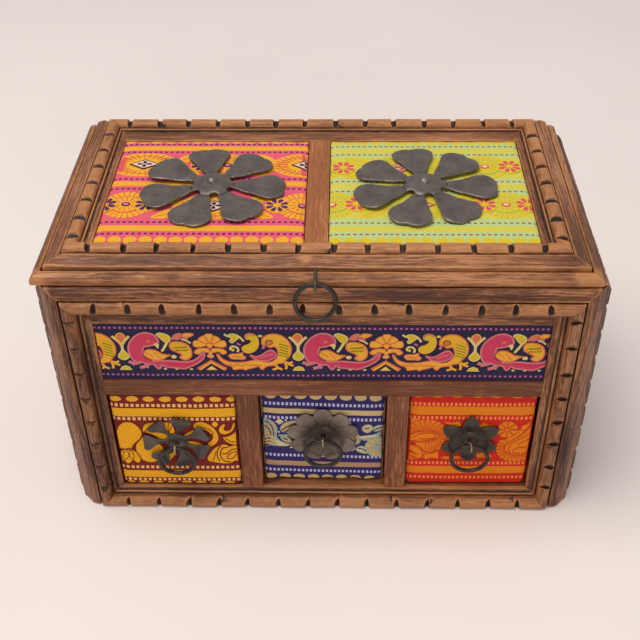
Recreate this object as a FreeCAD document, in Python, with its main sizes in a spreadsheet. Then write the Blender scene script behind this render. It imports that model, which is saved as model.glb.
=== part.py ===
"""Carved wooden table chest: hinged lid, three drawers, notched mouldings, padded cloth panels.

Frame: origin under the centre of the case on the floor, +X right, +Y back, +Z up, millimetres.
"""
import FreeCAD
import Part
import Sketcher

import os
import re

SIZES = {
    # case
    "case_width": 248.0,
    "case_depth": 136.0,
    "case_height": 143.0,
    "board": 11.0,
    "shelf": 9.8,
    "divider": 10.5,
    "stile_width": 18.55,
    "top_rail_width": 21.5,
    "guide_height": 12.0,
    "ribbon_height": 35.0,
    "ribbon_thickness": 0.8,
    # case mouldings
    "edge_height": 2.6,
    "band_width": 6.0,
    "band_height": 5.2,
    "band_swell": 0.9,
    "groove_width": 0.5,
    "groove_depth": 0.9,
    "bead_width": 6.5,
    "bead_crest": 7.6,
    "flat_height": 1.8,
    "side_flat_width": 6.0,
    # gouged notches on every bead
    "notch_pitch": 15.7,
    "notch_width": 4.4,
    "notch_depth": 2.2,
    "notch_clear": 5.5,
    # lid
    "lid_side_overhang": 3.0,
    "lid_overhang": 2.5,
    "lid_shift": 2.5,
    "lid_gap": 0.5,
    "nosing_width": 5.0,
    "nosing_edge": 3.4,
    "nosing_height": 5.7,
    "nosing_swell": 0.9,
    "riser_height": 1.5,
    "slope_width": 7.2,
    "slope_height": 9.6,
    "lid_groove": 0.5,
    "lid_bead_width": 6.6,
    "lid_crest": 12.0,
    "lid_flat_height": 8.2,
    "lid_front_flat": 2.5,
    "lid_side_flat": 5.2,
    "lid_back_flat": 12.0,
    "lid_back_edge": 7.8,
    "lid_back_slope": 3.5,
    "lid_panel": 5.0,
    "lid_rebate": 6.0,
    "centre_bar": 10.8,
    # cloth pads
    "pad_gap": 0.2,
    "pad_corner": 2.0,
    "pad_round": 1.0,
    "facing_thickness": 2.4,
    "facing_corner": 5.0,
    "facing_round": 1.8,
    # iron flowers
    "lid_flower_reach": 36.0,
    "lid_flower_dome": 3.9,
    "lid_flower_lift": 2.2,
    "lid_flower_draw_in": 2.25,
    "lid_flower_turn": 99.0,
    "left_rosette_reach": 17.8,
    "middle_rosette_reach": 17.8,
    "right_rosette_reach": 16.2,
    "rosette_dome": 1.7,
    "rosette_lift": 1.4,
    "left_rosette_turn": 77.0,
    "middle_rosette_turn": 90.0,
    "right_rosette_turn": 90.0,
    "sheet_iron": 0.9,
    "nail_radius": 1.0,
    "nail_head_radius": 2.4,
    "nail_head_height": 1.3,
    "nail_crown_radius": 1.5,
    "nail_bite": 4.0,
    # pulls
    "ring_radius": 9.0,
    "ring_wire": 1.05,
    "eye_radius": 2.15,
    "eye_wire": 0.75,
    "shank_radius": 1.1,
    "eye_stand": 6.4,
    "left_pull_rise": 1.4,
    "middle_pull_rise": 3.2,
    "right_pull_rise": 2.6,
    "leg_length": 7.0,
    "lid_eye_stand": 3.5,
    "lid_shank_radius": 0.95,
    "lid_shank_bite": 12.0,
    "lid_ring_lean": 11.5,
    # drawers
    "drawer_gap": 0.6,
    "drawer_end_gap": 0.5,
    "drawer_front": 7.0,
    "drawer_side": 5.0,
    "drawer_wall_drop": 12.5,
    "drawer_panel": 3.0,
    "drawer_panel_rise": 3.0,
    "drawer_groove": 2.0,
    "left_drawer_inset": 0.8,
    "middle_drawer_inset": 4.6,
    "right_drawer_inset": 2.6,
    # hinges
    "hinge_from_end": 46.0,
    "hinge_length": 22.0,
    "hinge_inset": 0.2,
    "leaf_height": 7.2,
    "leaf_thickness": 0.8,
    "knuckle_radius": 1.6,
    "knuckle_gap": 0.2,
    "hinge_pin_radius": 0.8,
    "hinge_clear": 0.4,
    "screw_spread": 7.0,
    "screw_drop": 4.7,
    "screw_radius": 0.7,
    "screw_length": 6.0,
    "screw_head_radius": 1.5,
    "screw_head_height": 0.7,
    # fits
    "running_gap": 0.05,
    "hole_gap": 0.1,
    "overrun": 1.0,
}

doc = FreeCAD.newDocument("carved_chest")
sheet = doc.addObject("Spreadsheet::Sheet", "Sizes")
for row, (name, size) in enumerate(SIZES.items(), start=1):
    sheet.set(f"A{row}", name)
    sheet.set(f"B{row}", str(size))
    sheet.setAlias(f"B{row}", name)
doc.recompute()

sub_parts = []

X_AXIS = FreeCAD.Vector(1, 0, 0)
Y_AXIS = FreeCAD.Vector(0, 1, 0)
Z_AXIS = FreeCAD.Vector(0, 0, 1)
ORIGIN = FreeCAD.Vector(0, 0, 0)


# Expressions: each is plain text in the sheet's names
def full(text):
    """The expression with each size's name pointing at its cell."""
    return re.sub(r"[a-z][a-z_]*", lambda word: f"Sizes.{word[0]}" if word[0] in SIZES else word[0], text)


def value(text):
    """The expression's present value."""
    return float(sheet.evalExpression(full(text)))


def bind(thing, **properties):
    for name, text in properties.items():
        thing.setExpression(name, full(text))


def place(thing, corner, rotation=None):
    """Puts a thing's own origin at the corner, each coordinate an expression."""
    if rotation is not None:
        thing.Placement = FreeCAD.Placement(ORIGIN, rotation)
    for axis, text in zip("xyz", corner):
        thing.setExpression(f"Placement.Base.{axis}", full(text))
    return thing


def keep(thing):
    """Lists a finished sub-part for export under its label."""
    sub_parts.append(thing)
    return thing


# Levels and lines that several pieces share
FRONT = "(-case_depth / 2)"
BACK = "(case_depth / 2)"
INNER_WIDTH = "(case_width - board * 2)"
SHELF_TOP = "(case_height - top_rail_width - ribbon_height)"
SHELF_BOTTOM = f"({SHELF_TOP} - shelf)"
OPENINGS = "(case_width - stile_width * 2)"
OPENING_WIDTH = f"(({OPENINGS} - divider * 2) / 3)"
OPENING_HEIGHT = f"({SHELF_BOTTOM} - board)"
DRAWER_STEP = f"({OPENING_WIDTH} + divider)"
FRONT_FLAT = "(-case_depth / 2 - flat_height)"
BEAD_START = "(band_width + groove_width)"
BEAD_BASE = "(band_height - groove_depth)"
LID_BOTTOM = "(case_height + lid_gap)"
LID_FRONT = "(-case_depth / 2 - lid_overhang)"
LID_DEPTH = "(case_depth + lid_overhang)"
LID_WIDTH = "(case_width + lid_side_overhang * 2)"
LID_LEFT = f"(-{LID_WIDTH} / 2 - lid_shift)"
LID_RIGHT = f"({LID_WIDTH} / 2 - lid_shift)"
LID_BEAD_START = "(nosing_width + slope_width + lid_groove)"
LID_BEAD_BASE = "(slope_height - lid_groove)"
LID_FRONT_WIDTH = f"({LID_BEAD_START} + lid_bead_width + lid_front_flat)"
LID_SIDE_WIDTH = f"({LID_BEAD_START} + lid_bead_width + lid_side_flat)"
LID_BACK_WIDTH = "(lid_back_slope + lid_groove + lid_bead_width + lid_back_flat)"
LID_BACK_STEP = f"({LID_BEAD_START} - lid_back_slope - lid_groove)"
FIELD_FRONT = f"({LID_FRONT} + {LID_FRONT_WIDTH})"
FIELD_BACK = f"({BACK} - {LID_BACK_WIDTH})"
FIELD_WIDTH = f"({LID_WIDTH} - {LID_SIDE_WIDTH} * 2)"
PAD_BOTTOM = f"({LID_BOTTOM} + lid_panel)"
PAD_TOP = f"({LID_BOTTOM} + lid_flat_height)"
HINGE_X = "(case_width / 2 - hinge_from_end)"
HINGE_LEFT = f"({HINGE_X} - hinge_length / 2)"
HINGE_Y = f"({BACK} - hinge_inset)"
HINGE_Z = "(case_height + lid_gap / 2)"
KNUCKLE_CLEAR = "(knuckle_radius + hinge_clear)"


# Plain makers
def box(name, size, corner):
    """A square-edged board from its three sizes and its lowest corner."""
    made = doc.addObject("Part::Box", name)
    bind(made, Length=size[0], Width=size[1], Height=size[2])
    return place(made, corner)


def rod(name, radius, length, corner, direction=Z_AXIS):
    """A round bar that starts at the corner and runs in the direction."""
    made = doc.addObject("Part::Cylinder", name)
    bind(made, Radius=radius, Height=length)
    return place(made, corner, FreeCAD.Rotation(Z_AXIS, direction))


def ring(name, radius, wire, centre, axis, lean="0"):
    """A closed wire ring round the centre; the lean turns it about +X."""
    made = doc.addObject("Part::Torus", name)
    bind(made, Radius1=radius, Radius2=wire)
    turn = FreeCAD.Rotation(X_AXIS, value(lean))
    return place(made, centre, turn.multiply(FreeCAD.Rotation(Z_AXIS, axis)))


def fuse(name, pieces):
    made = doc.addObject("Part::MultiFuse", name)
    made.Shapes = pieces
    return made


def group(name, pieces):
    """Separate solids kept side by side in one node."""
    made = doc.addObject("Part::Compound", name)
    made.Links = pieces
    return made


def cut(name, base, tools):
    made = doc.addObject("Part::Cut", name)
    made.Base = base
    made.Tool = tools[0] if len(tools) == 1 else group(f"{name}_tools", tools)
    return made


def mirror(name, source):
    """The same piece on the other side of the case's middle."""
    made = doc.addObject("Part::Mirroring", name)
    made.Source = source
    made.Normal = X_AXIS
    return made


def mirrored_pair(name, source):
    return group(name, [source, mirror(f"{name}_mirrored", source)])


# Sketches
def draw(sketch, path):
    """Closes an outline through corners given as expressions.

    A corner with a third text starts an arc of that radius, which swells to the left of its travel.
    """
    corners = [FreeCAD.Vector(value(corner[0]), value(corner[1]), 0) for corner in path]
    ends = []
    for index, corner in enumerate(path):
        start = corners[index]
        end = corners[(index + 1) % len(corners)]
        if len(corner) == 2:
            ends.append((sketch.addGeometry(Part.LineSegment(start, end)), 1, 2))
            continue
        chord = end - start
        radius = value(corner[2])
        swell = radius - (radius ** 2 - chord.Length ** 2 / 4) ** 0.5
        side = Z_AXIS.cross(chord).normalize()
        middle = (start + end) / 2 + side * swell
        ends.append((sketch.addGeometry(Part.Arc(end, middle, start)), 2, 1))
        radius_row = sketch.addConstraint(Sketcher.Constraint("Radius", ends[-1][0], radius))
        sketch.setExpression(f"Constraints[{radius_row}]", full(corner[2]))
    for index, corner in enumerate(path):
        edge, start, end = ends[index]
        after, after_start, _ = ends[(index + 1) % len(ends)]
        sketch.addConstraint(Sketcher.Constraint("Coincident", edge, end, after, after_start))
        for kind, text in zip(("DistanceX", "DistanceY"), corner):
            rule = Sketcher.Constraint(kind, -1, 1, edge, start, value(text))
            sketch.setExpression(f"Constraints[{sketch.addConstraint(rule)}]", full(text))


def hole(sketch, radius, across, along):
    """A round hole in a sketch, from expressions."""
    centre = FreeCAD.Vector(value(across), value(along), 0)
    edge = sketch.addGeometry(Part.Circle(centre, Z_AXIS, value(radius)))
    rules = (
        (Sketcher.Constraint("Radius", edge, value(radius)), radius),
        (Sketcher.Constraint("DistanceX", -1, 1, edge, 3, value(across)), across),
        (Sketcher.Constraint("DistanceY", -1, 1, edge, 3, value(along)), along),
    )
    for rule, text in rules:
        sketch.setExpression(f"Constraints[{sketch.addConstraint(rule)}]", full(text))


def sketch_on(body, role, name):
    """A new sketch on one of the body's own origin planes."""
    sketch = body.newObject("Sketcher::SketchObject", name)
    plane = next(item for item in body.Origin.OriginFeatures if item.Role == role)
    sketch.AttachmentSupport = [(plane, "")]
    sketch.MapMode = "FlatFace"
    return sketch


def pocket_through(body, sketch, name):
    """Cuts the sketch through the whole body, both ways."""
    pocket = body.newObject("PartDesign::Pocket", name)
    pocket.Profile = sketch
    pocket.SideType = "Symmetric"
    pocket.Type = "ThroughAll"
    return pocket


def arc_radius(chord, swell):
    """Radius of an arc from its chord and its swell, as an expression."""
    return f"((({chord}) ^ 2 / 4 + ({swell}) ^ 2) / (2 * ({swell})))"


# Mouldings: a profile run along a board's edge, mitred at both ends, its bead notched
def bead(start, base, width, crest):
    """The two ends of a bead's round back; the first starts the arc."""
    return [
        (start, base, arc_radius(width, f"{crest} - {base}")),
        (f"{start} + {width}", base),
    ]


def case_profile(width, banded, returned):
    """A case moulding's section: outer band and groove where it has them, bead, inner flat.

    A returned one slopes back at its outer edge, over the edge of the moulding round the corner.
    """
    start = BEAD_START if banded else "0"
    band_chord = "sqrt((band_height - edge_height) ^ 2 + band_width ^ 2)"
    band = [
        ("-edge_height" if returned else "0", "0"),
        ("0", "edge_height", arc_radius(band_chord, "band_swell")),
        ("band_width", "band_height"),
        ("band_width", BEAD_BASE),
    ]
    plain = [("0", "0")]
    inner = [
        (f"{start} + bead_width", "flat_height"),
        (width, "flat_height"),
        (width, "0"),
    ]
    return (band if banded else plain) + bead(start, BEAD_BASE, "bead_width", "bead_crest") + inner


def lid_profile(width):
    """The lid's front and side section: nosing, riser, slope, bead, flat, and a rebate for the panel."""
    nose = arc_radius("sqrt((nosing_height - nosing_edge) ^ 2 + nosing_width ^ 2)", "nosing_swell")
    slope_start = "nosing_height + riser_height"
    return [
        ("0", "0"),
        ("0", "nosing_edge", nose),
        ("nosing_width", "nosing_height"),
        ("nosing_width", slope_start),
        ("nosing_width + slope_width", "slope_height"),
        ("nosing_width + slope_width", LID_BEAD_BASE),
    ] + bead(LID_BEAD_START, LID_BEAD_BASE, "lid_bead_width", "lid_crest") + lid_inner(LID_BEAD_START, width)


def lid_back_profile():
    """The lid's back section: a square back edge, a short slope, then bead and flat."""
    start = "(lid_back_slope + lid_groove)"
    return [
        ("0", "0"),
        ("0", "lid_back_edge"),
        ("lid_back_slope", "slope_height"),
        ("lid_back_slope", LID_BEAD_BASE),
    ] + bead(start, LID_BEAD_BASE, "lid_bead_width", "lid_crest") + lid_inner(start, LID_BACK_WIDTH)


def lid_inner(start, width):
    return [
        (f"{start} + lid_bead_width", "lid_flat_height"),
        (width, "lid_flat_height"),
        (width, "lid_panel"),
        (f"{width} - lid_rebate", "lid_panel"),
        (f"{width} - lid_rebate", "0"),
    ]


def moulding(name, profile, run, width, ends, bead_middle, crest, outward, inward, corner):
    """One mitred moulding: its own X runs along it, Y from the outer edge inward, Z out of the board.

    Each end has a step, how far from the outer edge its mitre starts, and a meet, how far the mitre
    runs before the piece butts square against its neighbour's inner edge.
    """
    body = doc.addObject("PartDesign::Body", name)
    section = sketch_on(body, "YZ_Plane", f"{name}_section")
    draw(section, profile)
    bar = body.newObject("PartDesign::Pad", f"{name}_bar")
    bar.Profile = section
    bind(bar, Length=run)

    mitres = sketch_on(body, "XY_Plane", f"{name}_mitres")
    (near, near_meet), (far, far_meet) = ends
    near_run = f"min({near_meet}; {width} - {near})"
    far_run = f"min({far_meet}; {width} - {far})"
    draw(mitres, [
        ("-overrun", f"{near} - overrun"),
        (near_run, f"{near} + {near_run}"),
        (near_run, f"{width} + overrun"),
        ("-overrun", f"{width} + overrun"),
    ])
    draw(mitres, [
        (f"{run} + overrun", f"{far} - overrun"),
        (f"{run} + overrun", f"{width} + overrun"),
        (f"{run} - {far_run}", f"{width} + overrun"),
        (f"{run} - {far_run}", f"{far} + {far_run}"),
    ])
    pocket_through(body, mitres, f"{name}_mitre_cut")

    spaces = f"floor(({run} - 2 * ({bead_middle} + notch_clear)) / notch_pitch)"
    first = f"(({run} - {spaces} * notch_pitch) / 2)"
    notch = sketch_on(body, "XZ_Plane", f"{name}_notch")
    draw(notch, [
        (f"{first} - notch_width / 2", crest),
        (first, f"{crest} - notch_depth"),
        (f"{first} + notch_width / 2", crest),
        (f"{first} + notch_width / 2", f"{crest} + overrun"),
        (f"{first} - notch_width / 2", f"{crest} + overrun"),
    ])
    gouge = pocket_through(body, notch, f"{name}_gouge")
    notches = body.newObject("PartDesign::LinearPattern", f"{name}_notches")
    notches.Originals = [gouge]
    notches.Direction = (notch, ["H_Axis"])
    bind(notches, Length=f"{spaces} * notch_pitch", Occurrences=f"{spaces} + 1")
    body.Tip = notches

    along = inward.cross(outward)
    return place(body, corner, FreeCAD.Rotation(along, inward, outward, "ZXY"))


CASE_BEAD_MIDDLE = f"({BEAD_START} + bead_width / 2)"
SIDE_RAIL_WIDTH = f"({BEAD_START} + bead_width + side_flat_width)"
FOOT_RUN = f"(case_width - {BEAD_START} * 2)"
SIDE_FOOT_RUN = f"(case_depth - {BEAD_START} * 2)"


def case_moulding(name, run, width, ends, outward, inward, corner, banded=True, returned=False):
    middle = CASE_BEAD_MIDDLE if banded else "(bead_width / 2)"
    profile = case_profile(width, banded, returned)
    return moulding(name, profile, run, width, ends, middle, "bead_crest", outward, inward, corner)


def build_front_mouldings():
    front = -Y_AXIS
    top_end = ("0", "stile_width")
    stile_top = ("0", "top_rail_width")
    stile_foot = (BEAD_START, "board")
    foot_end = ("0", f"(stile_width - {BEAD_START})")
    keep(case_moulding("front_top_moulding", "case_width", "top_rail_width", (top_end, top_end),
                       front, -Z_AXIS, ("case_width / 2", FRONT, "case_height")))
    keep(case_moulding("front_left_moulding", "case_height", "stile_width", (stile_top, stile_foot),
                       front, X_AXIS, ("-case_width / 2", FRONT, "case_height"), returned=True))
    keep(case_moulding("front_right_moulding", "case_height", "stile_width", (stile_foot, stile_top),
                       front, -X_AXIS, ("case_width / 2", FRONT, "0"), returned=True))
    keep(case_moulding("front_foot_moulding", FOOT_RUN, "board", (foot_end, foot_end),
                       front, Z_AXIS, (f"-{FOOT_RUN} / 2", FRONT, "0"), banded=False))


def build_side_mouldings(side):
    """One side's frame: its two rails in one node and its two stiles in another."""
    right = side == "right"
    outward = X_AXIS if right else -X_AXIS
    forward, backward = ("-", "") if right else ("", "-")
    inward = Y_AXIS if right else -Y_AXIS
    wall = f"{backward}case_width / 2"
    square_end = ("0", SIDE_RAIL_WIDTH)
    stile_foot = (BEAD_START, "board")
    foot_end = ("0", f"({SIDE_RAIL_WIDTH} - {BEAD_START})")
    top = case_moulding(f"{side}_top_rail", "case_depth", SIDE_RAIL_WIDTH, (square_end, square_end),
                        outward, -Z_AXIS, (wall, f"{backward}case_depth / 2", "case_height"))
    foot = case_moulding(f"{side}_foot_rail", SIDE_FOOT_RUN, "board", (foot_end, foot_end),
                         outward, Z_AXIS, (wall, f"{forward}{SIDE_FOOT_RUN} / 2", "0"), banded=False)
    falling = case_moulding(f"{side}_falling_stile", "case_height", SIDE_RAIL_WIDTH, (square_end, stile_foot),
                            outward, inward, (wall, f"{forward}case_depth / 2", "case_height"))
    rising = case_moulding(f"{side}_rising_stile", "case_height", SIDE_RAIL_WIDTH, (stile_foot, square_end),
                           outward, -inward, (wall, f"{backward}case_depth / 2", "0"))
    keep(group(f"{side}_side_rails", [top, foot]))
    keep(group(f"{side}_side_stiles", [falling, rising]))


# Case boards
def build_case():
    keep(box("floor_board", (INNER_WIDTH, "case_depth", "board"),
             (f"-{INNER_WIDTH} / 2", FRONT, "0")))
    for side, corner in (("left", "-case_width / 2"), ("right", "case_width / 2 - board")):
        keep(box(f"{side}_side_board", ("board", "case_depth", "case_height"), (corner, FRONT, "0")))
    blank = box("back_blank", (INNER_WIDTH, "board", "case_height - board"),
                (f"-{INNER_WIDTH} / 2", f"{BACK} - board", "board"))
    keep(cut("back_board", blank, hinge_cuts("case", "-")))
    keep(box("front_panel", (INNER_WIDTH, "board", f"case_height - {SHELF_TOP}"),
             (f"-{INNER_WIDTH} / 2", FRONT, SHELF_TOP)))
    build_shelf()
    for side, sign in (("left", "-"), ("right", "")):
        keep(box(f"{side}_divider", ("divider", f"{BACK} - board - {FRONT_FLAT}", OPENING_HEIGHT),
                 (f"{sign}{DRAWER_STEP} / 2 - divider / 2", FRONT_FLAT, "board")))
    guide = box("right_guide", (f"({INNER_WIDTH} - {OPENINGS}) / 2", "case_depth - board", "guide_height"),
                (f"{OPENINGS} / 2", FRONT, "board"))
    keep(mirrored_pair("drawer_guides", guide))
    keep(box("front_ribbon", (OPENINGS, "ribbon_thickness", "ribbon_height"),
             (f"-{OPENINGS} / 2", f"{FRONT} - ribbon_thickness", SHELF_TOP)))


def build_shelf():
    """The board over the drawers; its front edge shows between the stiles, so it steps in there."""
    body = doc.addObject("PartDesign::Body", "shelf_board")
    outline = sketch_on(body, "XY_Plane", "shelf_outline")
    draw(outline, [
        (f"-{INNER_WIDTH} / 2", f"{BACK} - board"),
        (f"-{INNER_WIDTH} / 2", FRONT),
        (f"-{OPENINGS} / 2", FRONT),
        (f"-{OPENINGS} / 2", FRONT_FLAT),
        (f"{OPENINGS} / 2", FRONT_FLAT),
        (f"{OPENINGS} / 2", FRONT),
        (f"{INNER_WIDTH} / 2", FRONT),
        (f"{INNER_WIDTH} / 2", f"{BACK} - board"),
    ])
    slab = body.newObject("PartDesign::Pad", "shelf_slab")
    slab.Profile = outline
    bind(slab, Length="shelf")
    keep(place(body, ("0", "0", SHELF_BOTTOM)))


# Hinges: two small butt hinges on the back faces, their barrels let into the meeting edges
SCREW_SIDES = (("near", "-"), ("far", "+"))


def screw_place(sign, level, toward):
    """Where a hinge's screw sits, at a given level from the back."""
    return (f"{HINGE_X} {sign} screw_spread", level, f"{HINGE_Z} {toward} screw_drop")


def hinge_cuts(owner, toward):
    """Room for the barrels and the screws in one of the two boards that a hinge joins."""
    barrel = rod(f"{owner}_barrel_room", KNUCKLE_CLEAR, "hinge_length + hinge_clear * 2",
                 (f"{HINGE_LEFT} - hinge_clear", HINGE_Y, HINGE_Z), X_AXIS)
    holes = [
        rod(f"{owner}_screw_hole_{end}", "screw_radius + hole_gap", "screw_length + overrun",
            screw_place(sign, f"{BACK} + overrun", toward), -Y_AXIS)
        for end, sign in SCREW_SIDES
    ]
    tools = [barrel] + holes
    return tools + [mirror(f"{tool.Name}_mirrored", tool) for tool in tools]


def leaf(owner, toward, knuckles):
    """One leaf: a plate with holes, and knuckles given by where they start and their length."""
    plate_low = f"{HINGE_Z} + {KNUCKLE_CLEAR}" if toward == "+" else f"{HINGE_Z} - leaf_height"
    tab_low = HINGE_Z if toward == "+" else f"{HINGE_Z} - {KNUCKLE_CLEAR}"
    pieces = [box(f"{owner}_plate", ("hinge_length", "leaf_thickness", f"leaf_height - {KNUCKLE_CLEAR}"),
                  (HINGE_LEFT, BACK, plate_low))]
    for index, (start, length) in enumerate(knuckles):
        pieces.append(box(f"{owner}_tab_{index}", (length, "leaf_thickness", KNUCKLE_CLEAR),
                          (f"{HINGE_LEFT} + {start}", BACK, tab_low)))
        pieces.append(rod(f"{owner}_knuckle_{index}", "knuckle_radius", length,
                          (f"{HINGE_LEFT} + {start}", HINGE_Y, HINGE_Z), X_AXIS))
    bores = [rod(f"{owner}_bore", "hinge_pin_radius + running_gap", "hinge_length + overrun * 2",
                 (f"{HINGE_LEFT} - overrun", HINGE_Y, HINGE_Z), X_AXIS)]
    for end, sign in SCREW_SIDES:
        bores.append(rod(f"{owner}_leaf_hole_{end}", "screw_radius + hole_gap",
                         "leaf_thickness + overrun * 2",
                         screw_place(sign, f"{BACK} - overrun", toward), Y_AXIS))
    return cut(f"{owner}_leaf", fuse(f"{owner}_leaf_blank", pieces), bores)


def screws(owner, toward):
    """Two round-headed screws of one leaf, and their twins in the other hinge."""
    made = []
    for end, sign in SCREW_SIDES:
        seat = screw_place(sign, f"{BACK} + leaf_thickness", toward)
        head = doc.addObject("Part::Cone", f"{owner}_screw_head_{end}")
        bind(head, Radius1="screw_head_radius", Radius2="screw_radius", Height="screw_head_height")
        place(head, seat, FreeCAD.Rotation(Z_AXIS, Y_AXIS))
        shank = rod(f"{owner}_screw_shank_{end}", "screw_radius", "screw_length + leaf_thickness",
                    seat, -Y_AXIS)
        made.append(fuse(f"{owner}_screw_{end}", [head, shank]))
    twins = [mirror(f"{screw.Name}_mirrored", screw) for screw in made]
    keep(group(f"hinge_{owner}_screws", made + twins))


def build_hinges():
    third = "(hinge_length / 3)"
    outer = [("0", f"{third} - knuckle_gap"), (f"{third} * 2 + knuckle_gap", f"{third} - knuckle_gap")]
    keep(mirrored_pair("hinge_case_leaves", leaf("case", "-", outer)))
    keep(mirrored_pair("hinge_lid_leaves", leaf("lid", "+", [(third, third)])))
    pin = rod("right_hinge_pin", "hinge_pin_radius", "hinge_length",
              (HINGE_LEFT, HINGE_Y, HINGE_Z), X_AXIS)
    keep(mirrored_pair("hinge_pins", pin))
    screws("case", "-")
    screws("lid", "+")


# Cloth pads
def pad(name, size, corner_round, edge_round, hole_place, hole_radius):
    """A thin cloth-covered pad: round corners, a soft front edge and one hole; its back is at z = 0."""
    width, height, thickness = size
    body = doc.addObject("PartDesign::Body", name)
    outline = sketch_on(body, "XY_Plane", f"{name}_outline")
    draw(outline, [
        (corner_round, "0", corner_round),
        ("0", corner_round),
        ("0", f"{height} - {corner_round}", corner_round),
        (corner_round, height),
        (f"{width} - {corner_round}", height, corner_round),
        (width, f"{height} - {corner_round}"),
        (width, corner_round, corner_round),
        (f"{width} - {corner_round}", "0"),
    ])
    hole(outline, hole_radius, *hole_place)
    slab = body.newObject("PartDesign::Pad", f"{name}_slab")
    slab.Profile = outline
    bind(slab, Length=thickness)
    doc.recompute()
    front = max(slab.Shape.Faces, key=lambda face: face.CenterOfMass.z)
    soft = body.newObject("PartDesign::Fillet", f"{name}_soft_edge")
    soft.Base = (slab, [
        f"Edge{number}" for number, edge in enumerate(slab.Shape.Edges, start=1)
        if any(edge.isSame(rim) for rim in front.OuterWire.Edges)
    ])
    bind(soft, Radius=edge_round)
    body.Tip = soft
    return body


# Iron flowers: petals and hub cut from one dished sheet. A petal's shares give how far out along its
# middle each point of one edge lies, and how far to the side, both of the flower's reach.
HEART_PETAL_SHARES = (
    (0.20, 0.07), (0.34, 0.075), (0.50, 0.14), (0.68, 0.245),
    (0.84, 0.27), (0.955, 0.18), (1.0, 0.08), (0.965, 0.0),
)
FLARED_PETAL_SHARES = (
    (0.20, 0.06), (0.42, 0.055), (0.58, 0.10), (0.74, 0.20), (0.88, 0.235), (0.97, 0.15), (1.0, 0.0),
)
LOBE_PETAL_SHARES = (
    (0.20, 0.10), (0.45, 0.20), (0.66, 0.31), (0.84, 0.30), (0.96, 0.18), (1.0, 0.0),
)
OVAL_PETAL_SHARES = (
    (0.20, 0.10), (0.36, 0.15), (0.56, 0.235), (0.74, 0.22), (0.90, 0.11), (1.0, 0.0),
)
LID_PETALS = 7
ROSETTES = {
    "left": (7, FLARED_PETAL_SHARES),
    "middle": (9, LOBE_PETAL_SHARES),
    "right": (6, OVAL_PETAL_SHARES),
}
HUB_SHARE = 0.30
SHOULDER_SHARE = 0.5
PETAL_CREST_SHARE = 0.76
RIM_SHARE = 1.06
RIM_RISE_SHARE = 0.62


def dished_sheet(span, bulge, rise, iron):
    """A round sheet of iron: a domed hub that stands on z = 0, then a rim that lifts and falls again."""
    hub = HUB_SHARE * span
    shoulder = SHOULDER_SHARE * hub
    ball = (hub ** 2 + bulge ** 2) / (2 * bulge)
    top = FreeCAD.Vector(0, 0, bulge)
    side = FreeCAD.Vector(shoulder, 0, bulge - ball + (ball ** 2 - shoulder ** 2) ** 0.5)
    foot = FreeCAD.Vector(hub, 0, 0)
    crest = FreeCAD.Vector(PETAL_CREST_SHARE * span, 0, rise)
    rim = FreeCAD.Vector(RIM_SHARE * span, 0, RIM_RISE_SHARE * rise)
    up = Z_AXIS * iron
    under = [Part.Arc(top, side, foot).toShape(), Part.Arc(foot, crest, rim).toShape()]
    over = [edge.translated(up) for edge in under]
    ends = [Part.LineSegment(point, point + up).toShape() for point in (top, rim)]
    section = Part.Face(Part.Wire(Part.sortEdges(under + over + ends)[0]))
    return section.revolve(ORIGIN, Z_AXIS, 360)


def flower(name, reach, dome, lift, petals, petal_shares, turn, bore):
    """A flower lying on z = 0 and facing +Z, with a round hole through its hub."""
    span = value(reach)
    height = value(f"{dome} + sheet_iron")
    sheet_metal = dished_sheet(span, value(dome), value(lift), value("sheet_iron"))
    edge = [FreeCAD.Vector(along * span, across * span, 0) for along, across in petal_shares]
    twin = [FreeCAD.Vector(point.x, -point.y, 0) for point in edge]
    sides = [spline(edge), spline(twin), Part.LineSegment(edge[0], twin[0]).toShape()]
    petal = Part.Face(Part.Wire(Part.sortEdges(sides)[0]))
    hub = Part.Face(Part.Wire(Part.makeCircle(HUB_SHARE * span)))

    low = Z_AXIS * -height
    tall = Z_AXIS * (height * 3)
    blade = petal.translated(low).extrude(tall)
    core = hub.translated(low).extrude(tall)
    blades = [blade.rotated(ORIGIN, Z_AXIS, value(turn) + 360 * index / petals) for index in range(petals)]
    through = Part.makeCylinder(value(bore), tall.Length, low)
    made = doc.addObject("Part::Feature", name)
    made.Shape = sheet_metal.common(core.fuse(blades)).cut(through).Solids[0]
    return made


def spline(points):
    curve = Part.BSplineCurve()
    curve.interpolate(points)
    return curve.toShape()


# Lid
def lid_moulding(name, profile, run, width, ends, inward, corner, bead_middle):
    return moulding(name, profile, run, width, ends, bead_middle, "lid_crest", Z_AXIS, inward, corner)


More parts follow.
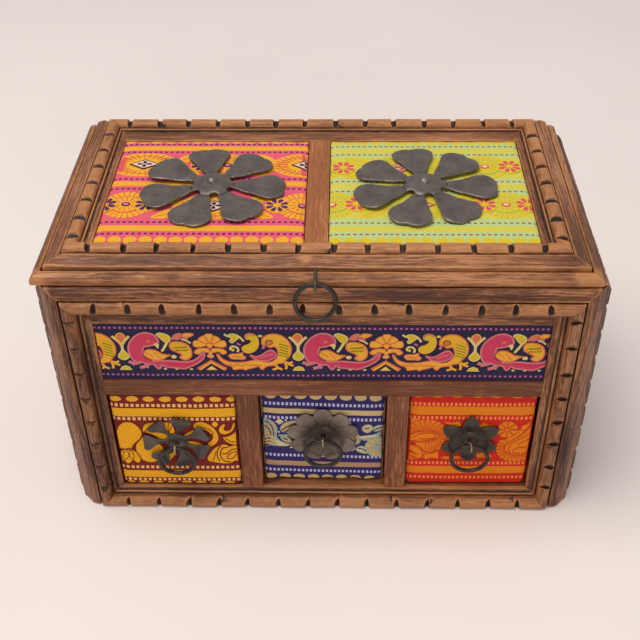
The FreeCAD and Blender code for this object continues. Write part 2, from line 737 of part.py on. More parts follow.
def build_lid_mouldings():
    middle = f"({LID_BEAD_START} + lid_bead_width / 2)"
    back_middle = "(lid_back_slope + lid_groove + lid_bead_width / 2)"
    back_run = f"({LID_WIDTH} - {LID_BACK_STEP} * 2)"
    front_end = ("0", LID_SIDE_WIDTH)
    side_front = ("0", LID_FRONT_WIDTH)
    side_back = (LID_BACK_STEP, LID_BACK_WIDTH)
    back_end = ("0", f"({LID_SIDE_WIDTH} - {LID_BACK_STEP})")
    front = lid_moulding("lid_front_rail", lid_profile(LID_FRONT_WIDTH), LID_WIDTH, LID_FRONT_WIDTH,
                         (front_end, front_end), Y_AXIS, (LID_LEFT, LID_FRONT, LID_BOTTOM), middle)
    eye_hole = rod("lid_eye_hole", "lid_shank_radius + hole_gap", f"{LID_SHANK} + overrun",
                   ("-lid_shift", LID_EYE_Y, LID_SHANK_Z), Y_AXIS)
    keep(cut("lid_front_moulding", front, [eye_hole]))
    keep(lid_moulding("lid_right_moulding", lid_profile(LID_SIDE_WIDTH), LID_DEPTH, LID_SIDE_WIDTH,
                      (side_front, side_back), -X_AXIS, (LID_RIGHT, LID_FRONT, LID_BOTTOM), middle))
    keep(lid_moulding("lid_left_moulding", lid_profile(LID_SIDE_WIDTH), LID_DEPTH, LID_SIDE_WIDTH,
                      (side_back, side_front), X_AXIS, (LID_LEFT, BACK, LID_BOTTOM), middle))
    back = lid_moulding("lid_back_rail", lid_back_profile(), back_run, LID_BACK_WIDTH,
                        (back_end, back_end), -Y_AXIS, (f"{LID_RIGHT} - {LID_BACK_STEP}", BACK, LID_BOTTOM),
                        back_middle)
    keep(cut("lid_back_moulding", back, hinge_cuts("lid", "+")))


FIELD_DEPTH = f"({FIELD_BACK} - {FIELD_FRONT})"
FLOWER_X = f"(({FIELD_WIDTH} + centre_bar) / 4 - lid_flower_draw_in)"
FIELD_MIDDLE = f"(({FIELD_BACK} + {FIELD_FRONT}) / 2)"
PAD_WIDTH = f"(({FIELD_WIDTH} - centre_bar) / 2 - pad_gap * 2)"
PAD_DEPTH = f"({FIELD_DEPTH} - pad_gap * 2)"
PAD_THICKNESS = "(lid_flat_height - lid_panel)"
LID_EYE_Y = f"({LID_FRONT} - lid_eye_stand)"
LID_SHANK_Z = f"({LID_BOTTOM} + nosing_height + lid_shank_radius + hole_gap)"
LID_EYE_Z = f"({LID_SHANK_Z} - eye_radius)"
LID_SHANK = "(lid_eye_stand + nosing_width + lid_shank_bite)"


def build_lid():
    build_lid_mouldings()
    blank = box("lid_blank",
                (f"{FIELD_WIDTH} + lid_rebate * 2", f"{FIELD_DEPTH} + lid_rebate * 2", "lid_panel"),
                (f"-{FIELD_WIDTH} / 2 - lid_rebate - lid_shift", f"{FIELD_FRONT} - lid_rebate", LID_BOTTOM))
    sides = (("left", "-", f"-{FIELD_WIDTH} / 2"), ("right", "", "centre_bar / 2"))
    nail_holes = []
    nails = []
    for side, sign, pad_edge in sides:
        flower_x = f"{sign}{FLOWER_X}"
        spot = (f"{flower_x} - lid_shift", FIELD_MIDDLE)
        hole_place = (f"{flower_x} - ({pad_edge}) - pad_gap", f"{PAD_DEPTH} / 2")
        cloth = pad(f"lid_{side}_pad", (PAD_WIDTH, PAD_DEPTH, PAD_THICKNESS), "pad_corner", "pad_round",
                    hole_place, "nail_radius + hole_gap")
        keep(place(cloth, (f"{pad_edge} + pad_gap - lid_shift", f"{FIELD_FRONT} + pad_gap", PAD_BOTTOM)))
        bloom = flower(f"lid_{side}_flower", "lid_flower_reach", "lid_flower_dome", "lid_flower_lift",
                       LID_PETALS, HEART_PETAL_SHARES, "lid_flower_turn", "nail_radius + hole_gap")
        keep(place(bloom, (*spot, PAD_TOP)))
        nail_holes.append(rod(f"lid_{side}_nail_hole", "nail_radius + hole_gap", "lid_panel + overrun * 2",
                              (*spot, f"{LID_BOTTOM} - overrun")))
        nails.append(flower_nail(side, spot))
    keep(cut("lid_board", blank, nail_holes))
    keep(group("lid_flower_nails", nails))
    keep(box("lid_centre_bar", ("centre_bar", FIELD_DEPTH, PAD_THICKNESS),
             ("-centre_bar / 2 - lid_shift", FIELD_FRONT, PAD_BOTTOM)))
    build_lid_pull()


def flower_nail(side, spot):
    """A round-headed nail through a lid flower, its cloth and the panel under it."""
    seat = f"{PAD_TOP} + lid_flower_dome + sheet_iron"
    length = f"lid_flower_dome + sheet_iron + {PAD_THICKNESS} + nail_bite"
    shank = rod(f"lid_{side}_nail_shank", "nail_radius", length, (*spot, seat), -Z_AXIS)
    head = doc.addObject("Part::Cone", f"lid_{side}_nail_head")
    bind(head, Radius1="nail_head_radius", Radius2="nail_crown_radius", Height="nail_head_height")
    place(head, (*spot, seat))
    return fuse(f"lid_{side}_nail", [shank, head])


def build_lid_pull():
    """A bent wire eye driven into the riser over the nosing, with a ring that leans on the case's bead."""
    centre = ("-lid_shift", LID_EYE_Y, LID_EYE_Z)
    loop = ring("lid_eye_loop", "eye_radius", "eye_wire", centre, X_AXIS)
    shank = rod("lid_eye_shank", "lid_shank_radius", LID_SHANK,
                ("-lid_shift", LID_EYE_Y, LID_SHANK_Z), Y_AXIS)
    keep(fuse("lid_ring_eye", [loop, shank]))
    middle = ("-lid_shift", f"{LID_EYE_Y} - ring_radius * sin(lid_ring_lean)",
              f"{LID_EYE_Z} - ring_radius * cos(lid_ring_lean)")
    keep(ring("lid_ring", "ring_radius", "ring_wire", middle, Y_AXIS, lean="-lid_ring_lean"))


# Drawers
DRAWER_WIDTH = f"({OPENING_WIDTH} - drawer_gap * 2)"
DEEPEST_INSET = "max(left_drawer_inset; middle_drawer_inset; right_drawer_inset)"
DRAWER_LENGTH = f"({BACK} - board - drawer_end_gap - {FRONT_FLAT} - {DEEPEST_INSET})"
WALL_HEIGHT = f"({OPENING_HEIGHT} - drawer_wall_drop)"
FACE_HEIGHT = f"({OPENING_HEIGHT} - drawer_gap * 2)"
FACE_MIDDLE = f"(board + {OPENING_HEIGHT} / 2)"


def build_drawer(side, middle):
    """One drawer: boarded box, cloth facing, iron rosette, split pin and ring."""
    name = f"{side}_drawer"
    face = f"({FRONT_FLAT} + {side}_drawer_inset)"
    front_y = f"({face} + facing_thickness)"
    inside_y = f"({front_y} + drawer_front)"
    end_y = f"({face} + {DRAWER_LENGTH})"
    left = f"({middle} - {DRAWER_WIDTH} / 2)"
    face_low = "(board + drawer_gap)"
    inner_width = f"({DRAWER_WIDTH} - drawer_side * 2)"
    panel_low = "(board + drawer_panel_rise)"
    pull_z = f"({FACE_MIDDLE} + {side}_pull_rise)"

    bottom = box(f"{name}_bottom",
                 (f"{inner_width} + drawer_groove * 2", f"{end_y} - {inside_y} + drawer_groove",
                  "drawer_panel"),
                 (f"{left} + drawer_side - drawer_groove", f"{inside_y} - drawer_groove", panel_low))
    keep(bottom)
    blank = box(f"{name}_front_blank", (DRAWER_WIDTH, "drawer_front", FACE_HEIGHT), (left, front_y, face_low))
    bore = rod(f"{name}_front_bore", "shank_radius + hole_gap", "drawer_front + overrun * 2",
               (middle, f"{front_y} - overrun", pull_z), Y_AXIS)
    keep(cut(f"{name}_front", blank, [bottom, bore]))
    walls = []
    for hand, corner in (("left", left), ("right", f"{left} + {DRAWER_WIDTH} - drawer_side")):
        wall = box(f"{name}_{hand}_wall_blank", ("drawer_side", f"{end_y} - {inside_y}", WALL_HEIGHT),
                   (corner, inside_y, "board"))
        walls.append(cut(f"{name}_{hand}_wall", wall, [bottom]))
    keep(group(f"{name}_sides", walls))
    keep(box(f"{name}_back", (inner_width, "drawer_side",
                              f"{WALL_HEIGHT} - drawer_panel_rise - drawer_panel"),
             (f"{left} + drawer_side", f"{end_y} - drawer_side", f"{panel_low} + drawer_panel")))

    outward = FreeCAD.Rotation(X_AXIS, 90)
    cloth = pad(f"{name}_facing", (DRAWER_WIDTH, FACE_HEIGHT, "facing_thickness"),
                "facing_corner", "facing_round",
                (f"{DRAWER_WIDTH} / 2", f"{pull_z} - {face_low}"), "shank_radius + hole_gap")
    keep(place(cloth, (left, front_y, face_low), outward))
    petals, petal_shares = ROSETTES[side]
    rosette = flower(f"{name}_rosette", f"{side}_rosette_reach", "rosette_dome", "rosette_lift",
                     petals, petal_shares, f"{side}_rosette_turn", "shank_radius + hole_gap")
    keep(place(rosette, (middle, face, pull_z), outward))
    build_drawer_pull(name, middle, face, inside_y, pull_z)


def build_drawer_pull(name, middle, face, inside_y, pull_z):
    """A split pin with its legs bent over inside the drawer, and a ring hung in its eye."""
    eye_y = f"({face} - eye_stand)"
    leg_y = f"({inside_y} + eye_wire + running_gap)"
    loop = ring(f"{name}_pin_loop", "eye_radius", "eye_wire", (middle, eye_y, pull_z), X_AXIS)
    shank = rod(f"{name}_pin_shank", "shank_radius", f"{leg_y} - {eye_y} - eye_radius",
                (middle, f"{eye_y} + eye_radius", pull_z), Y_AXIS)
    legs = [
        rod(f"{name}_pin_{hand}_leg", "eye_wire", "leg_length", (middle, leg_y, pull_z), direction)
        for hand, direction in (("left", -X_AXIS), ("right", X_AXIS))
    ]
    keep(fuse(f"{name}_pin", [loop, shank] + legs))
    keep(ring(f"{name}_ring", "ring_radius", "ring_wire",
              (middle, eye_y, f"{pull_z} - ring_radius"), Y_AXIS))


def write_sub_parts():
    doc.recompute()
    for thing in doc.Objects:
        if "Invalid" in thing.State or "Error" in thing.State:
            raise RuntimeError(f"{thing.Label} failed: {thing.State}")
    for part in sub_parts:
        if part.Shape.isNull() or not part.Shape.isValid() or not part.Shape.Solids:
            raise RuntimeError(f"{part.Label} has no sound shape")
    os.makedirs("parts", exist_ok=True)
    for part in sub_parts:
        part.Shape.exportStep(f"parts/{part.Label}.step")
        print(f"{part.Label}: {len(part.Shape.Solids)} solid(s), {part.Shape.Volume:.0f} cubic mm")
    print(f"{len(sub_parts)} nodes")


build_case()
build_front_mouldings()
for hand in ("left", "right"):
    build_side_mouldings(hand)
build_hinges()
build_lid()
build_drawer("left", f"(-{DRAWER_STEP})")
build_drawer("middle", "0")
build_drawer("right", DRAWER_STEP)
write_sub_parts()
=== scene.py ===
# %% [markdown]
# # A carved table chest
#
# A small chest of dark stained wood. Its mouldings are notched by hand, its lid and its three drawers carry
# brocade, and the pulls and flowers are blackened iron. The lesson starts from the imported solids, which fix
# every size, and dresses them piece by piece.

# %% Load the fixed frame
import math
import random
from functools import partial

import bmesh
import bpy
from mathutils import Matrix, Vector, geometry, noise
from mathutils.bvhtree import BVHTree


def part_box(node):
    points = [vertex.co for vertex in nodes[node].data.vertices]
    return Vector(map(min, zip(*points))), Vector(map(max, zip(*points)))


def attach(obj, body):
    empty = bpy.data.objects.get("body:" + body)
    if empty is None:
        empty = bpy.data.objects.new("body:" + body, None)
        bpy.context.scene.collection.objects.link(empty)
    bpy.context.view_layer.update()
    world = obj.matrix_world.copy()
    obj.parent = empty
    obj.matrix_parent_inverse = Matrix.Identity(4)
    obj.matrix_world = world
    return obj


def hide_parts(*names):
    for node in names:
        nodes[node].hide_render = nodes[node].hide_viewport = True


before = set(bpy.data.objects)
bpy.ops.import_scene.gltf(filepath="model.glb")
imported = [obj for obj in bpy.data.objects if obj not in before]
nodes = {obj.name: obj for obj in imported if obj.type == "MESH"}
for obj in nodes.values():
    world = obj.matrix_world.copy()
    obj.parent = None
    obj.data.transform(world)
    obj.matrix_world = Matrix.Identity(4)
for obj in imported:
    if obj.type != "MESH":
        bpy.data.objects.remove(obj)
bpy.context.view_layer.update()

MM = 0.001
X, Y, Z = Vector((1, 0, 0)), Vector((0, 1, 0)), Vector((0, 0, 1))
scene = bpy.context.scene


def extent(node):
    """The low and high corners of a solid's box, in millimetres."""
    return [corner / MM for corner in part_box(node)]


def centre_of(node):
    lowest, highest = extent(node)
    return (lowest + highest) / 2


# %% [markdown]
# ## Stage, light and camera
#
# The chest stands on a plain pale cloth under soft light from the upper left. A camera could be placed by
# eye, but here its lens, place and tilt were fitted to the corners of the lid, ribbon and drawers, so that
# the render and the photograph can be compared corner by corner.

# %% Camera
LENS, SENSOR = 56.84, 36.0
CAMERA_PLACE = Vector((9.0, -425.0, 415.1)) * MM
CAMERA_PITCH, CAMERA_YAW, CAMERA_ROLL = 50.71, 1.56, -0.78


def turn(degrees, axis):
    return Matrix.Rotation(math.radians(degrees), 4, axis)


camera = bpy.data.objects.new("camera", bpy.data.cameras.new("camera"))
camera.data.lens = LENS
camera.data.sensor_width = SENSOR
camera.matrix_world = (Matrix.Translation(CAMERA_PLACE) @ turn(CAMERA_YAW, "Z")
                       @ turn(CAMERA_PITCH, "X") @ turn(CAMERA_ROLL, "Z"))
scene.collection.objects.link(camera)
scene.camera = camera
scene.view_settings.view_transform = "Standard"
print("camera at", [round(c, 3) for c in camera.matrix_world.translation])

# %% Node helpers
def srgb(red, green, blue):
    """A colour as it is seen on screen, turned into the linear values that shaders use."""
    parts = [part / 255 for part in (red, green, blue)]
    return tuple(p / 12.92 if p <= 0.04045 else ((p + 0.055) / 1.055) ** 2.4 for p in parts) + (1.0,)


class Nodes:
    """A short hand for placing nodes in one tree; inputs are values or other nodes' sockets."""

    def __init__(self, tree):
        self.tree = tree

    def add(self, kind, inputs=(), **settings):
        node = self.tree.nodes.new(kind)
        for name, setting in settings.items():
            setattr(node, name, setting)
        for key, given in dict(inputs).items():
            self.feed(node.inputs[key], given)
        return node

    def feed(self, socket, given):
        if isinstance(given, bpy.types.NodeSocket):
            self.tree.links.new(given, socket)
        else:
            socket.default_value = given

    def math(self, operation, *values, clamp=False):
        node = self.add("ShaderNodeMath", operation=operation, use_clamp=clamp)
        for socket, given in zip(node.inputs, values):
            self.feed(socket, given)
        return node.outputs[0]

    def mix(self, factor, first, second, blend="MIX"):
        node = self.add("ShaderNodeMix", data_type="RGBA", blend_type=blend)
        for socket, given in ((node.inputs[0], factor), (node.inputs[6], first), (node.inputs[7], second)):
            self.feed(socket, given)
        return node.outputs[2]

    def ramp(self, value, stops):
        node = self.add("ShaderNodeValToRGB", {"Fac": value})
        while len(node.color_ramp.elements) < len(stops):
            node.color_ramp.elements.new(1.0)
        for element, (place, colour) in zip(node.color_ramp.elements, stops):
            element.position = place
            element.color = colour
        return node.outputs["Color"]

    def span(self, value, low, high, start=0.0, end=1.0):
        node = self.add("ShaderNodeMapRange", {"Value": value, "From Min": low, "From Max": high,
                                               "To Min": start, "To Max": end})
        return node.outputs["Result"]

    def noise(self, vector, scale, detail=3.0, roughness=0.5):
        node = self.add("ShaderNodeTexNoise", {"Vector": vector, "Scale": scale, "Detail": detail,
                                               "Roughness": roughness})
        return node.outputs["Fac"]

    def stretch(self, vector, scale):
        node = self.add("ShaderNodeVectorMath", {0: vector, 1: scale}, operation="MULTIPLY")
        return node.outputs["Vector"]

    def plus(self, first, second):
        node = self.add("ShaderNodeVectorMath", {0: first, 1: second}, operation="ADD")
        return node.outputs["Vector"]

    def share(self, value, amount):
        return self.math("MULTIPLY", value, amount)

    def attribute(self, name):
        return self.add("ShaderNodeAttribute", attribute_name=name).outputs["Fac"]


def node_group(name, inputs, outputs):
    """An empty shader group with named sockets; gives its nodes, its inputs and its output node."""
    tree = bpy.data.node_groups.new(name, "ShaderNodeTree")
    for direction, sockets in (("INPUT", inputs), ("OUTPUT", outputs)):
        for label, kind in sockets:
            tree.interface.new_socket(label, in_out=direction, socket_type=f"NodeSocket{kind}")
    made = Nodes(tree)
    return made, made.add("NodeGroupInput").outputs, made.add("NodeGroupOutput").inputs


def material(name):
    """A new material; gives it, its nodes and the inputs of its Principled shader."""
    made = bpy.data.materials.new(name)
    made.use_nodes = True
    return made, Nodes(made.node_tree), made.node_tree.nodes["Principled BSDF"].inputs


def use_group(tree, name, inputs):
    node = tree.add("ShaderNodeGroup", node_tree=bpy.data.node_groups[name])
    for key, given in inputs.items():
        tree.feed(node.inputs[key], given)
    return node.outputs


def bump(tree, height, distance, strength=1.0):
    node = tree.add("ShaderNodeBump", {"Height": height, "Distance": distance * MM, "Strength": strength})
    return node.outputs["Normal"]


# %% Floor and lights
FLOOR_HALF = 6.0
CHEST_MIDDLE, WARM_WHITE = (0, 0, 0.08), (1.0, 0.98, 0.96)


def make_floor():
    bm = bmesh.new()
    bmesh.ops.create_grid(bm, x_segments=8, y_segments=8, size=FLOOR_HALF)
    mesh = bpy.data.meshes.new("floor")
    bm.to_mesh(mesh)
    bm.free()
    floor = bpy.data.objects.new("floor", mesh)
    scene.collection.objects.link(floor)
    pale, tree, shader = material("pale_cloth_floor")
    place = tree.add("ShaderNodeTexCoord").outputs["Object"]
    tone = tree.ramp(tree.noise(place, 2.5), ((0.3, srgb(235, 223, 218)), (0.7, srgb(242, 231, 226))))
    tree.feed(shader["Base Color"], tone)
    shader["Roughness"].default_value = 0.9
    mesh.materials.append(pale)


def lamp(name, place, aim, size, watts, colour):
    light = bpy.data.lights.new(name, "AREA")
    light.shape = "DISK"
    light.size = size
    light.energy = watts
    light.color = colour
    made = bpy.data.objects.new(name, light)
    made.location = place
    made.rotation_euler = (Vector(aim) - Vector(place)).to_track_quat("-Z", "Y").to_euler()
    scene.collection.objects.link(made)


make_floor()
lamp("ceiling", (-0.5, -0.3, 2.0), CHEST_MIDDLE, 1.5, 29.5, WARM_WHITE)
lamp("front_fill", (0.3, -2.0, 0.9), CHEST_MIDDLE, 1.2, 7.0, WARM_WHITE)
world = bpy.data.worlds.new("room")
world.use_nodes = True
scene.world = world
room = world.node_tree.nodes["Background"].inputs
room["Color"].default_value = (1.0, 0.985, 0.97, 1.0)
room["Strength"].default_value = 0.41
print("lamps:", [light.name for light in bpy.data.lights])

# %% [markdown]
# ## Stained wood
#
# The wood is a coarse brown timber under a dark stain. The stain wore off where hands rub, on the tops of
# the beads and along the edges, and it stayed thick in every groove; the darkened grooves are also painted
# shade, standing in for the shade that falls in them. One group draws the grain along X and another mixes in
# the wear, the grime and this painted shade. Wear could come from a pointiness node, but that can't be baked
# evenly, so each carved mesh carries two attributes, crest and hollow, measured from its own shape.

# %% Grain group, and wear group with grime and painted shade
PLANK_SHIFT = {"X": 61.0, "Y": 17.0}
PATCH_SHARE, FIBRE_SHARE, SPECK_SHARE = 0.8, 0.3, 0.2
DARKEST_TONE, LIGHTEST_TONE = 0.92, 1.38
GRAIN_STOPS = ((0.05, srgb(38, 18, 9)), (0.34, srgb(80, 42, 22)), (0.58, srgb(124, 74, 42)),
               (0.95, srgb(190, 130, 84)))
# The grime colour darkens the hollows: it is grime, and also painted shade in the grooves.
PORE_COLOUR, BARE_WOOD, GRIME_AND_SHADE = srgb(36, 18, 10), srgb(196, 132, 80), srgb(26, 14, 9)


def build_grain_group():
    tree, given, made = node_group(
        "Stained Grain", [("Vector", "Vector"), ("Plank", "Float")],
        [("Color", "Color"), ("Tone", "Float"), ("Height", "Float")])
    shift = tree.add("ShaderNodeCombineXYZ", {axis: tree.share(given["Plank"], step)
                                              for axis, step in PLANK_SHIFT.items()}).outputs[0]
    place = tree.plus(given["Vector"], shift)
    sway = tree.math("MULTIPLY", tree.noise(tree.stretch(place, (0.02, 0.02, 0.02)), 1.0, 2.0), 9.0)
    bend = tree.add("ShaderNodeCombineXYZ", {"Y": sway}).outputs[0]
    bent = tree.plus(place, bend)
    patch = tree.noise(tree.stretch(place, (0.014, 0.05, 0.05)), 1.0, 3.0)
    streak = tree.noise(tree.stretch(bent, (0.035, 1.1, 1.1)), 1.0, 5.0, 0.66)
    fibre = tree.noise(tree.stretch(bent, (0.10, 2.8, 2.8)), 1.0, 4.0, 0.6)
    pores = tree.span(tree.noise(tree.stretch(bent, (0.11, 1.9, 1.9)), 1.0, 2.0, 0.5), 0.54, 0.66)
    speck = tree.noise(tree.stretch(place, (0.35, 0.8, 0.8)), 1.0, 3.0, 0.6)
    tone = streak
    for layer, amount in ((patch, PATCH_SHARE), (fibre, FIBRE_SHARE), (speck, SPECK_SHARE)):
        tone = tree.math("ADD", tone, tree.share(layer, amount))
    tone = tree.span(tone, DARKEST_TONE, LIGHTEST_TONE)
    tree.feed(made["Color"], tree.mix(tree.share(pores, 0.6), tree.ramp(tone, GRAIN_STOPS), PORE_COLOUR))
    tree.feed(made["Tone"], tone)
    rise = tree.math("ADD", tree.share(streak, 0.6), tree.share(fibre, 0.5))
    tree.feed(made["Height"], tree.math("SUBTRACT", rise, tree.share(pores, 0.55)))


def build_wear_grime_and_shade_group():
    tree, given, made = node_group(
        "Rubbed Edges Grime And Painted Shade", [("Color", "Color"), ("Vector", "Vector"), ("Crest", "Float"), ("Hollow", "Float"),
                         ("Bare Color", "Color"), ("Grime And Shade Color", "Color"), ("Amount", "Float")],
        [("Color", "Color"), ("Rub", "Float")])
    broad = tree.noise(tree.stretch(given["Vector"], (0.03, 0.05, 0.05)), 1.0, 3.0, 0.6)
    chips = tree.noise(tree.stretch(given["Vector"], (0.22, 0.8, 0.8)), 1.0, 5.0, 0.65)
    breakup = tree.math("ADD", tree.share(broad, 1.1), tree.share(chips, 0.8))
    held = tree.math("MULTIPLY", given["Crest"], given["Amount"])
    rub = tree.span(tree.math("ADD", held, tree.math("SUBTRACT", breakup, 1.18)), 0.16, 0.80)
    # Hollows darken towards the grime colour: grime, and painted shade in the grooves, steps and notches.
    grime_and_shade = tree.span(tree.math("ADD", given["Hollow"], tree.share(chips, 0.4)), 0.28, 0.68)
    bare = tree.mix(tree.share(rub, 0.75), given["Color"], given["Bare Color"])
    tree.feed(made["Color"], tree.mix(tree.share(grime_and_shade, 0.9), bare, given["Grime And Shade Color"]))
    tree.feed(made["Rub"], rub)


build_grain_group()
build_wear_grime_and_shade_group()

# %% Wood materials, one for each way the grain runs
GRAIN_TURNS = {"x": (0, 0, 0), "y": (0, 0, -90), "z": (0, 90, 0)}


def make_wood(name, run, amount, stain, strength):
    """Grain along one axis; amount is how much it is rubbed, stain a colour that lies over the grain."""
    wood, tree, shader = material(name)
    place = tree.add("ShaderNodeTexCoord").outputs["Object"]
    turns = [math.radians(angle) for angle in GRAIN_TURNS[run]]
    mapping = {"Vector": place, "Scale": (1 / MM,) * 3, "Rotation": turns}
    along = tree.add("ShaderNodeMapping", mapping).outputs[0]
    grain = use_group(tree, "Stained Grain", {"Vector": along, "Plank": tree.attribute("plank")})
    colour = tree.mix(strength, grain["Color"], srgb(*stain))
    # The wear group lightens the crests and darkens the hollows, for grime and as painted shade.
    worn = use_group(tree, "Rubbed Edges Grime And Painted Shade", {
        "Color": colour, "Vector": along,
        "Crest": tree.attribute("crest"), "Hollow": tree.attribute("hollow"),
        "Bare Color": BARE_WOOD, "Grime And Shade Color": GRIME_AND_SHADE, "Amount": amount})
    tree.feed(shader["Base Color"], worn["Color"])
    tree.feed(shader["Roughness"], tree.math("SUBTRACT", tree.span(grain["Tone"], 0.1, 0.9, 0.66, 0.42),
                                             tree.math("MULTIPLY", worn["Rub"], 0.06)))
    tree.feed(shader["Normal"], bump(tree, grain["Height"], 0.4, 0.8))
    shader["Specular IOR Level"].default_value = 0.35
    shader["Coat Weight"].default_value = 0.12
    shader["Coat Roughness"].default_value = 0.25
    return wood


def wood_set(name, amount, stain, strength):
    return {run: make_wood(f"{name}_wood_{run}", run, amount, stain, strength) for run in "xyz"}


lid_wood = wood_set("lid", 1.1, (168, 106, 70), 0.25)
case_wood = wood_set("case", 0.95, (118, 64, 34), 0.2)
bar_wood = make_wood("bar_wood_y", "y", 0.8, (198, 120, 70), 0.5)
stile_wood = wood_set("stile", 0.65, (76, 38, 20), 0.25)
front_wood = wood_set("front", 0.7, (134, 70, 32), 0.45)
inside_wood = wood_set("drawer", 0.6, (190, 140, 96), 0.55)
print("woods:", [wood.name for wood in case_wood.values()])

# %% [markdown]
# ## Finishing a piece
#
# Every piece is shaped in millimetres in a bmesh and finished the same way: scaled to metres, given its
# finish, and set riding on the body that carries it. Wear and painted shade are measured here too: a point
# that stands out of its neighbours is a crest, rubbed lighter, and one that lies below them is a hollow,
# darkened; in the wood that darkening is grime and painted shade.

# %% Finishing helpers
BEND_SPAN = 0.09


def mark_crests_and_hollows(bm, blur=1, plank=0.0):
    """Writes how far each point stands out of its neighbours, as crests and hollows, and a number that shifts
    the grain.
    """
    bmesh.ops.recalc_face_normals(bm, faces=bm.faces[:])
    crest = bm.verts.layers.float.get("crest") or bm.verts.layers.float.new("crest")
    hollow = bm.verts.layers.float.get("hollow") or bm.verts.layers.float.new("hollow")
    shift = bm.verts.layers.float.new("plank")
    around = {vert: [edge.other_vert(vert) for edge in vert.link_edges] for vert in bm.verts}
    bend = {}
    for vert, others in around.items():
        steps = [(other.co - vert.co).normalized().dot(vert.normal) for other in others]
        bend[vert] = sum(steps) / len(steps)
    for _ in range(blur):
        bend = {vert: 0.5 * value + 0.5 * sum(bend[other] for other in around[vert]) / len(around[vert])
                for vert, value in bend.items()}
    for vert, value in bend.items():
        vert[crest] = min(1.0, max(vert[crest], -value / BEND_SPAN, 0.0))
        vert[hollow] = min(1.0, max(vert[hollow], value / BEND_SPAN, 0.0))
        vert[shift] = plank


def finish_piece(name, bm, body, finishes, replaced=(), sharp=45.0):
    """A bmesh in millimetres becomes a piece that rides on a body."""
    bmesh.ops.recalc_face_normals(bm, faces=bm.faces[:])
    bmesh.ops.transform(bm, matrix=Matrix.Scale(MM, 4), verts=bm.verts[:])
    mesh = bpy.data.meshes.new(name)
    bm.to_mesh(mesh)
    bm.free()
    for finish in finishes:
        mesh.materials.append(finish)
    mesh.shade_smooth()
    mesh.set_sharp_from_angle(angle=math.radians(sharp))
    piece = bpy.data.objects.new(name, mesh)
    scene.collection.objects.link(piece)
    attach(piece, body)
    if replaced:
        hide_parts(*replaced)
    return piece

# %% [markdown]
# ## Carved mouldings
#
# Each moulding is a planed bar with a half-round bead, gouged across by hand every 16 mm or so, then mitred
# into its frame. It could be cut from the solids by booleans, but a sweep keeps even rows of points, which
# the gouge marks and the wear need. The section is drawn by its corners, each corner is rounded by a bevel,
# the face is swept by a spin with no turn, and the rows near an end lean over into the mitre.

# %% Sections, as (from the outer edge, height, rounding)
BEAD_START, BEAD_WIDE, BEAD_CREST = 6.5, 6.5, 7.6
EDGE = [(0, 0, 0), (0, 2.6, 0.5)]
RETURNED_EDGE = [(-2.6, 0, 0), (0, 2.6, 0.5)]
BAND = [(1.5, 4.35, 1.0), (5.7, 5.2, 0.35), (5.9, 3.2, 0.1), (6.5, 3.2, 0)]


def case_section(width, banded=True, returned=False):
    start = BEAD_START if banded else 0
    band = (RETURNED_EDGE if returned else EDGE) + BAND if banded else [(0, 0, 0)]
    end = start + BEAD_WIDE
    bead = [(start, BEAD_CREST, 3.1), (end, BEAD_CREST, 3.1), (end, 1.9, 0.1), (end + 0.4, 1.9, 0.1)]
    fillet = [(end + 0.5, 2.9, 0.3), (end + 1.7, 2.9, 0.35), (end + 1.9, 1.8, 0.1)]
    return band + bead + fillet + [(width, 1.8, 0.3), (width, 0, 0)]


def lid_section(width, front=True):
    start = 12.7 if front else 4.0
    nose = [(0.9, 0, 0), (0, 0.9, 0.3), (0, 3.4, 0.9), (1.4, 5.05, 1.0), (4.2, 5.7, 0.35), (4.4, 3.9, 0.1),
            (5.3, 3.9, 0.1), (5.4, 7.2, 0.35), (12.0, 9.6, 0.4), (12.1, 8.4, 0.1), (12.7, 8.4, 0)]
    back = [(2.4, 0, 0), (0, 0, 0.2), (0, 2.4, 0), (0, 7.8, 0.6), (3.3, 9.6, 0.4), (3.4, 8.4, 0.1),
            (4.0, 8.4, 0)]
    end = start + 6.6
    bead = [(start, 12, 2.6), (end, 12, 2.6), (end, 8.4, 0.1), (end + 0.35, 8.4, 0.1),
            (end + 0.45, 9.2, 0.25), (end + 1.35, 9.2, 0.25), (end + 1.5, 8.2, 0.1)]
    flat = [(width, 8.2, 0.25), (width, 5, 0), (width - 6, 5, 0), (width - 6, 0, 0)]
    return (nose if front else back) + bead + flat

# %% Carving one moulding
NOTCH_PITCH, NOTCH_CLEAR = 15.7, 5.5
ROW_STEP, SECTION_STEP = 1.5, 1.6
MITRE_GAP = 0.12
MITRE_ROOM, MITRE_EASE = 12.0, 1.2
# Each notch: depth, reach before and after its deepest line, steepness of its walls, and how it fades
# across the bead
NOTCHES = {
    "slot": (2.9, 1.35, 1.35, 3.0, 0.0),
    "lens": (2.6, 1.9, 1.7, 1.4, 0.5),
    "tick": (1.9, 0.4, 4.8, 1.0, 0.0),
    "block": (2.3, 2.3, 1.0, 1.2, 0.0),
    "scoop": (2.9, 2.7, 2.1, 1.25, 0.0),
}
dice = random.Random(9)


def gouges(run, middle, before, after):
    """Where the notches fall, each a little different: place, depth share, reach before and after, skew."""
    spaces = math.floor((run - 2 * (middle + NOTCH_CLEAR)) / NOTCH_PITCH)
    first = (run - spaces * NOTCH_PITCH) / 2
    return [(first + index * NOTCH_PITCH + dice.uniform(-0.5, 0.5), dice.uniform(0.85, 1.1),
             before * dice.uniform(0.85, 1.2), after * dice.uniform(0.85, 1.2), dice.uniform(-0.1, 0.1))
            for index in range(spaces + 1)]


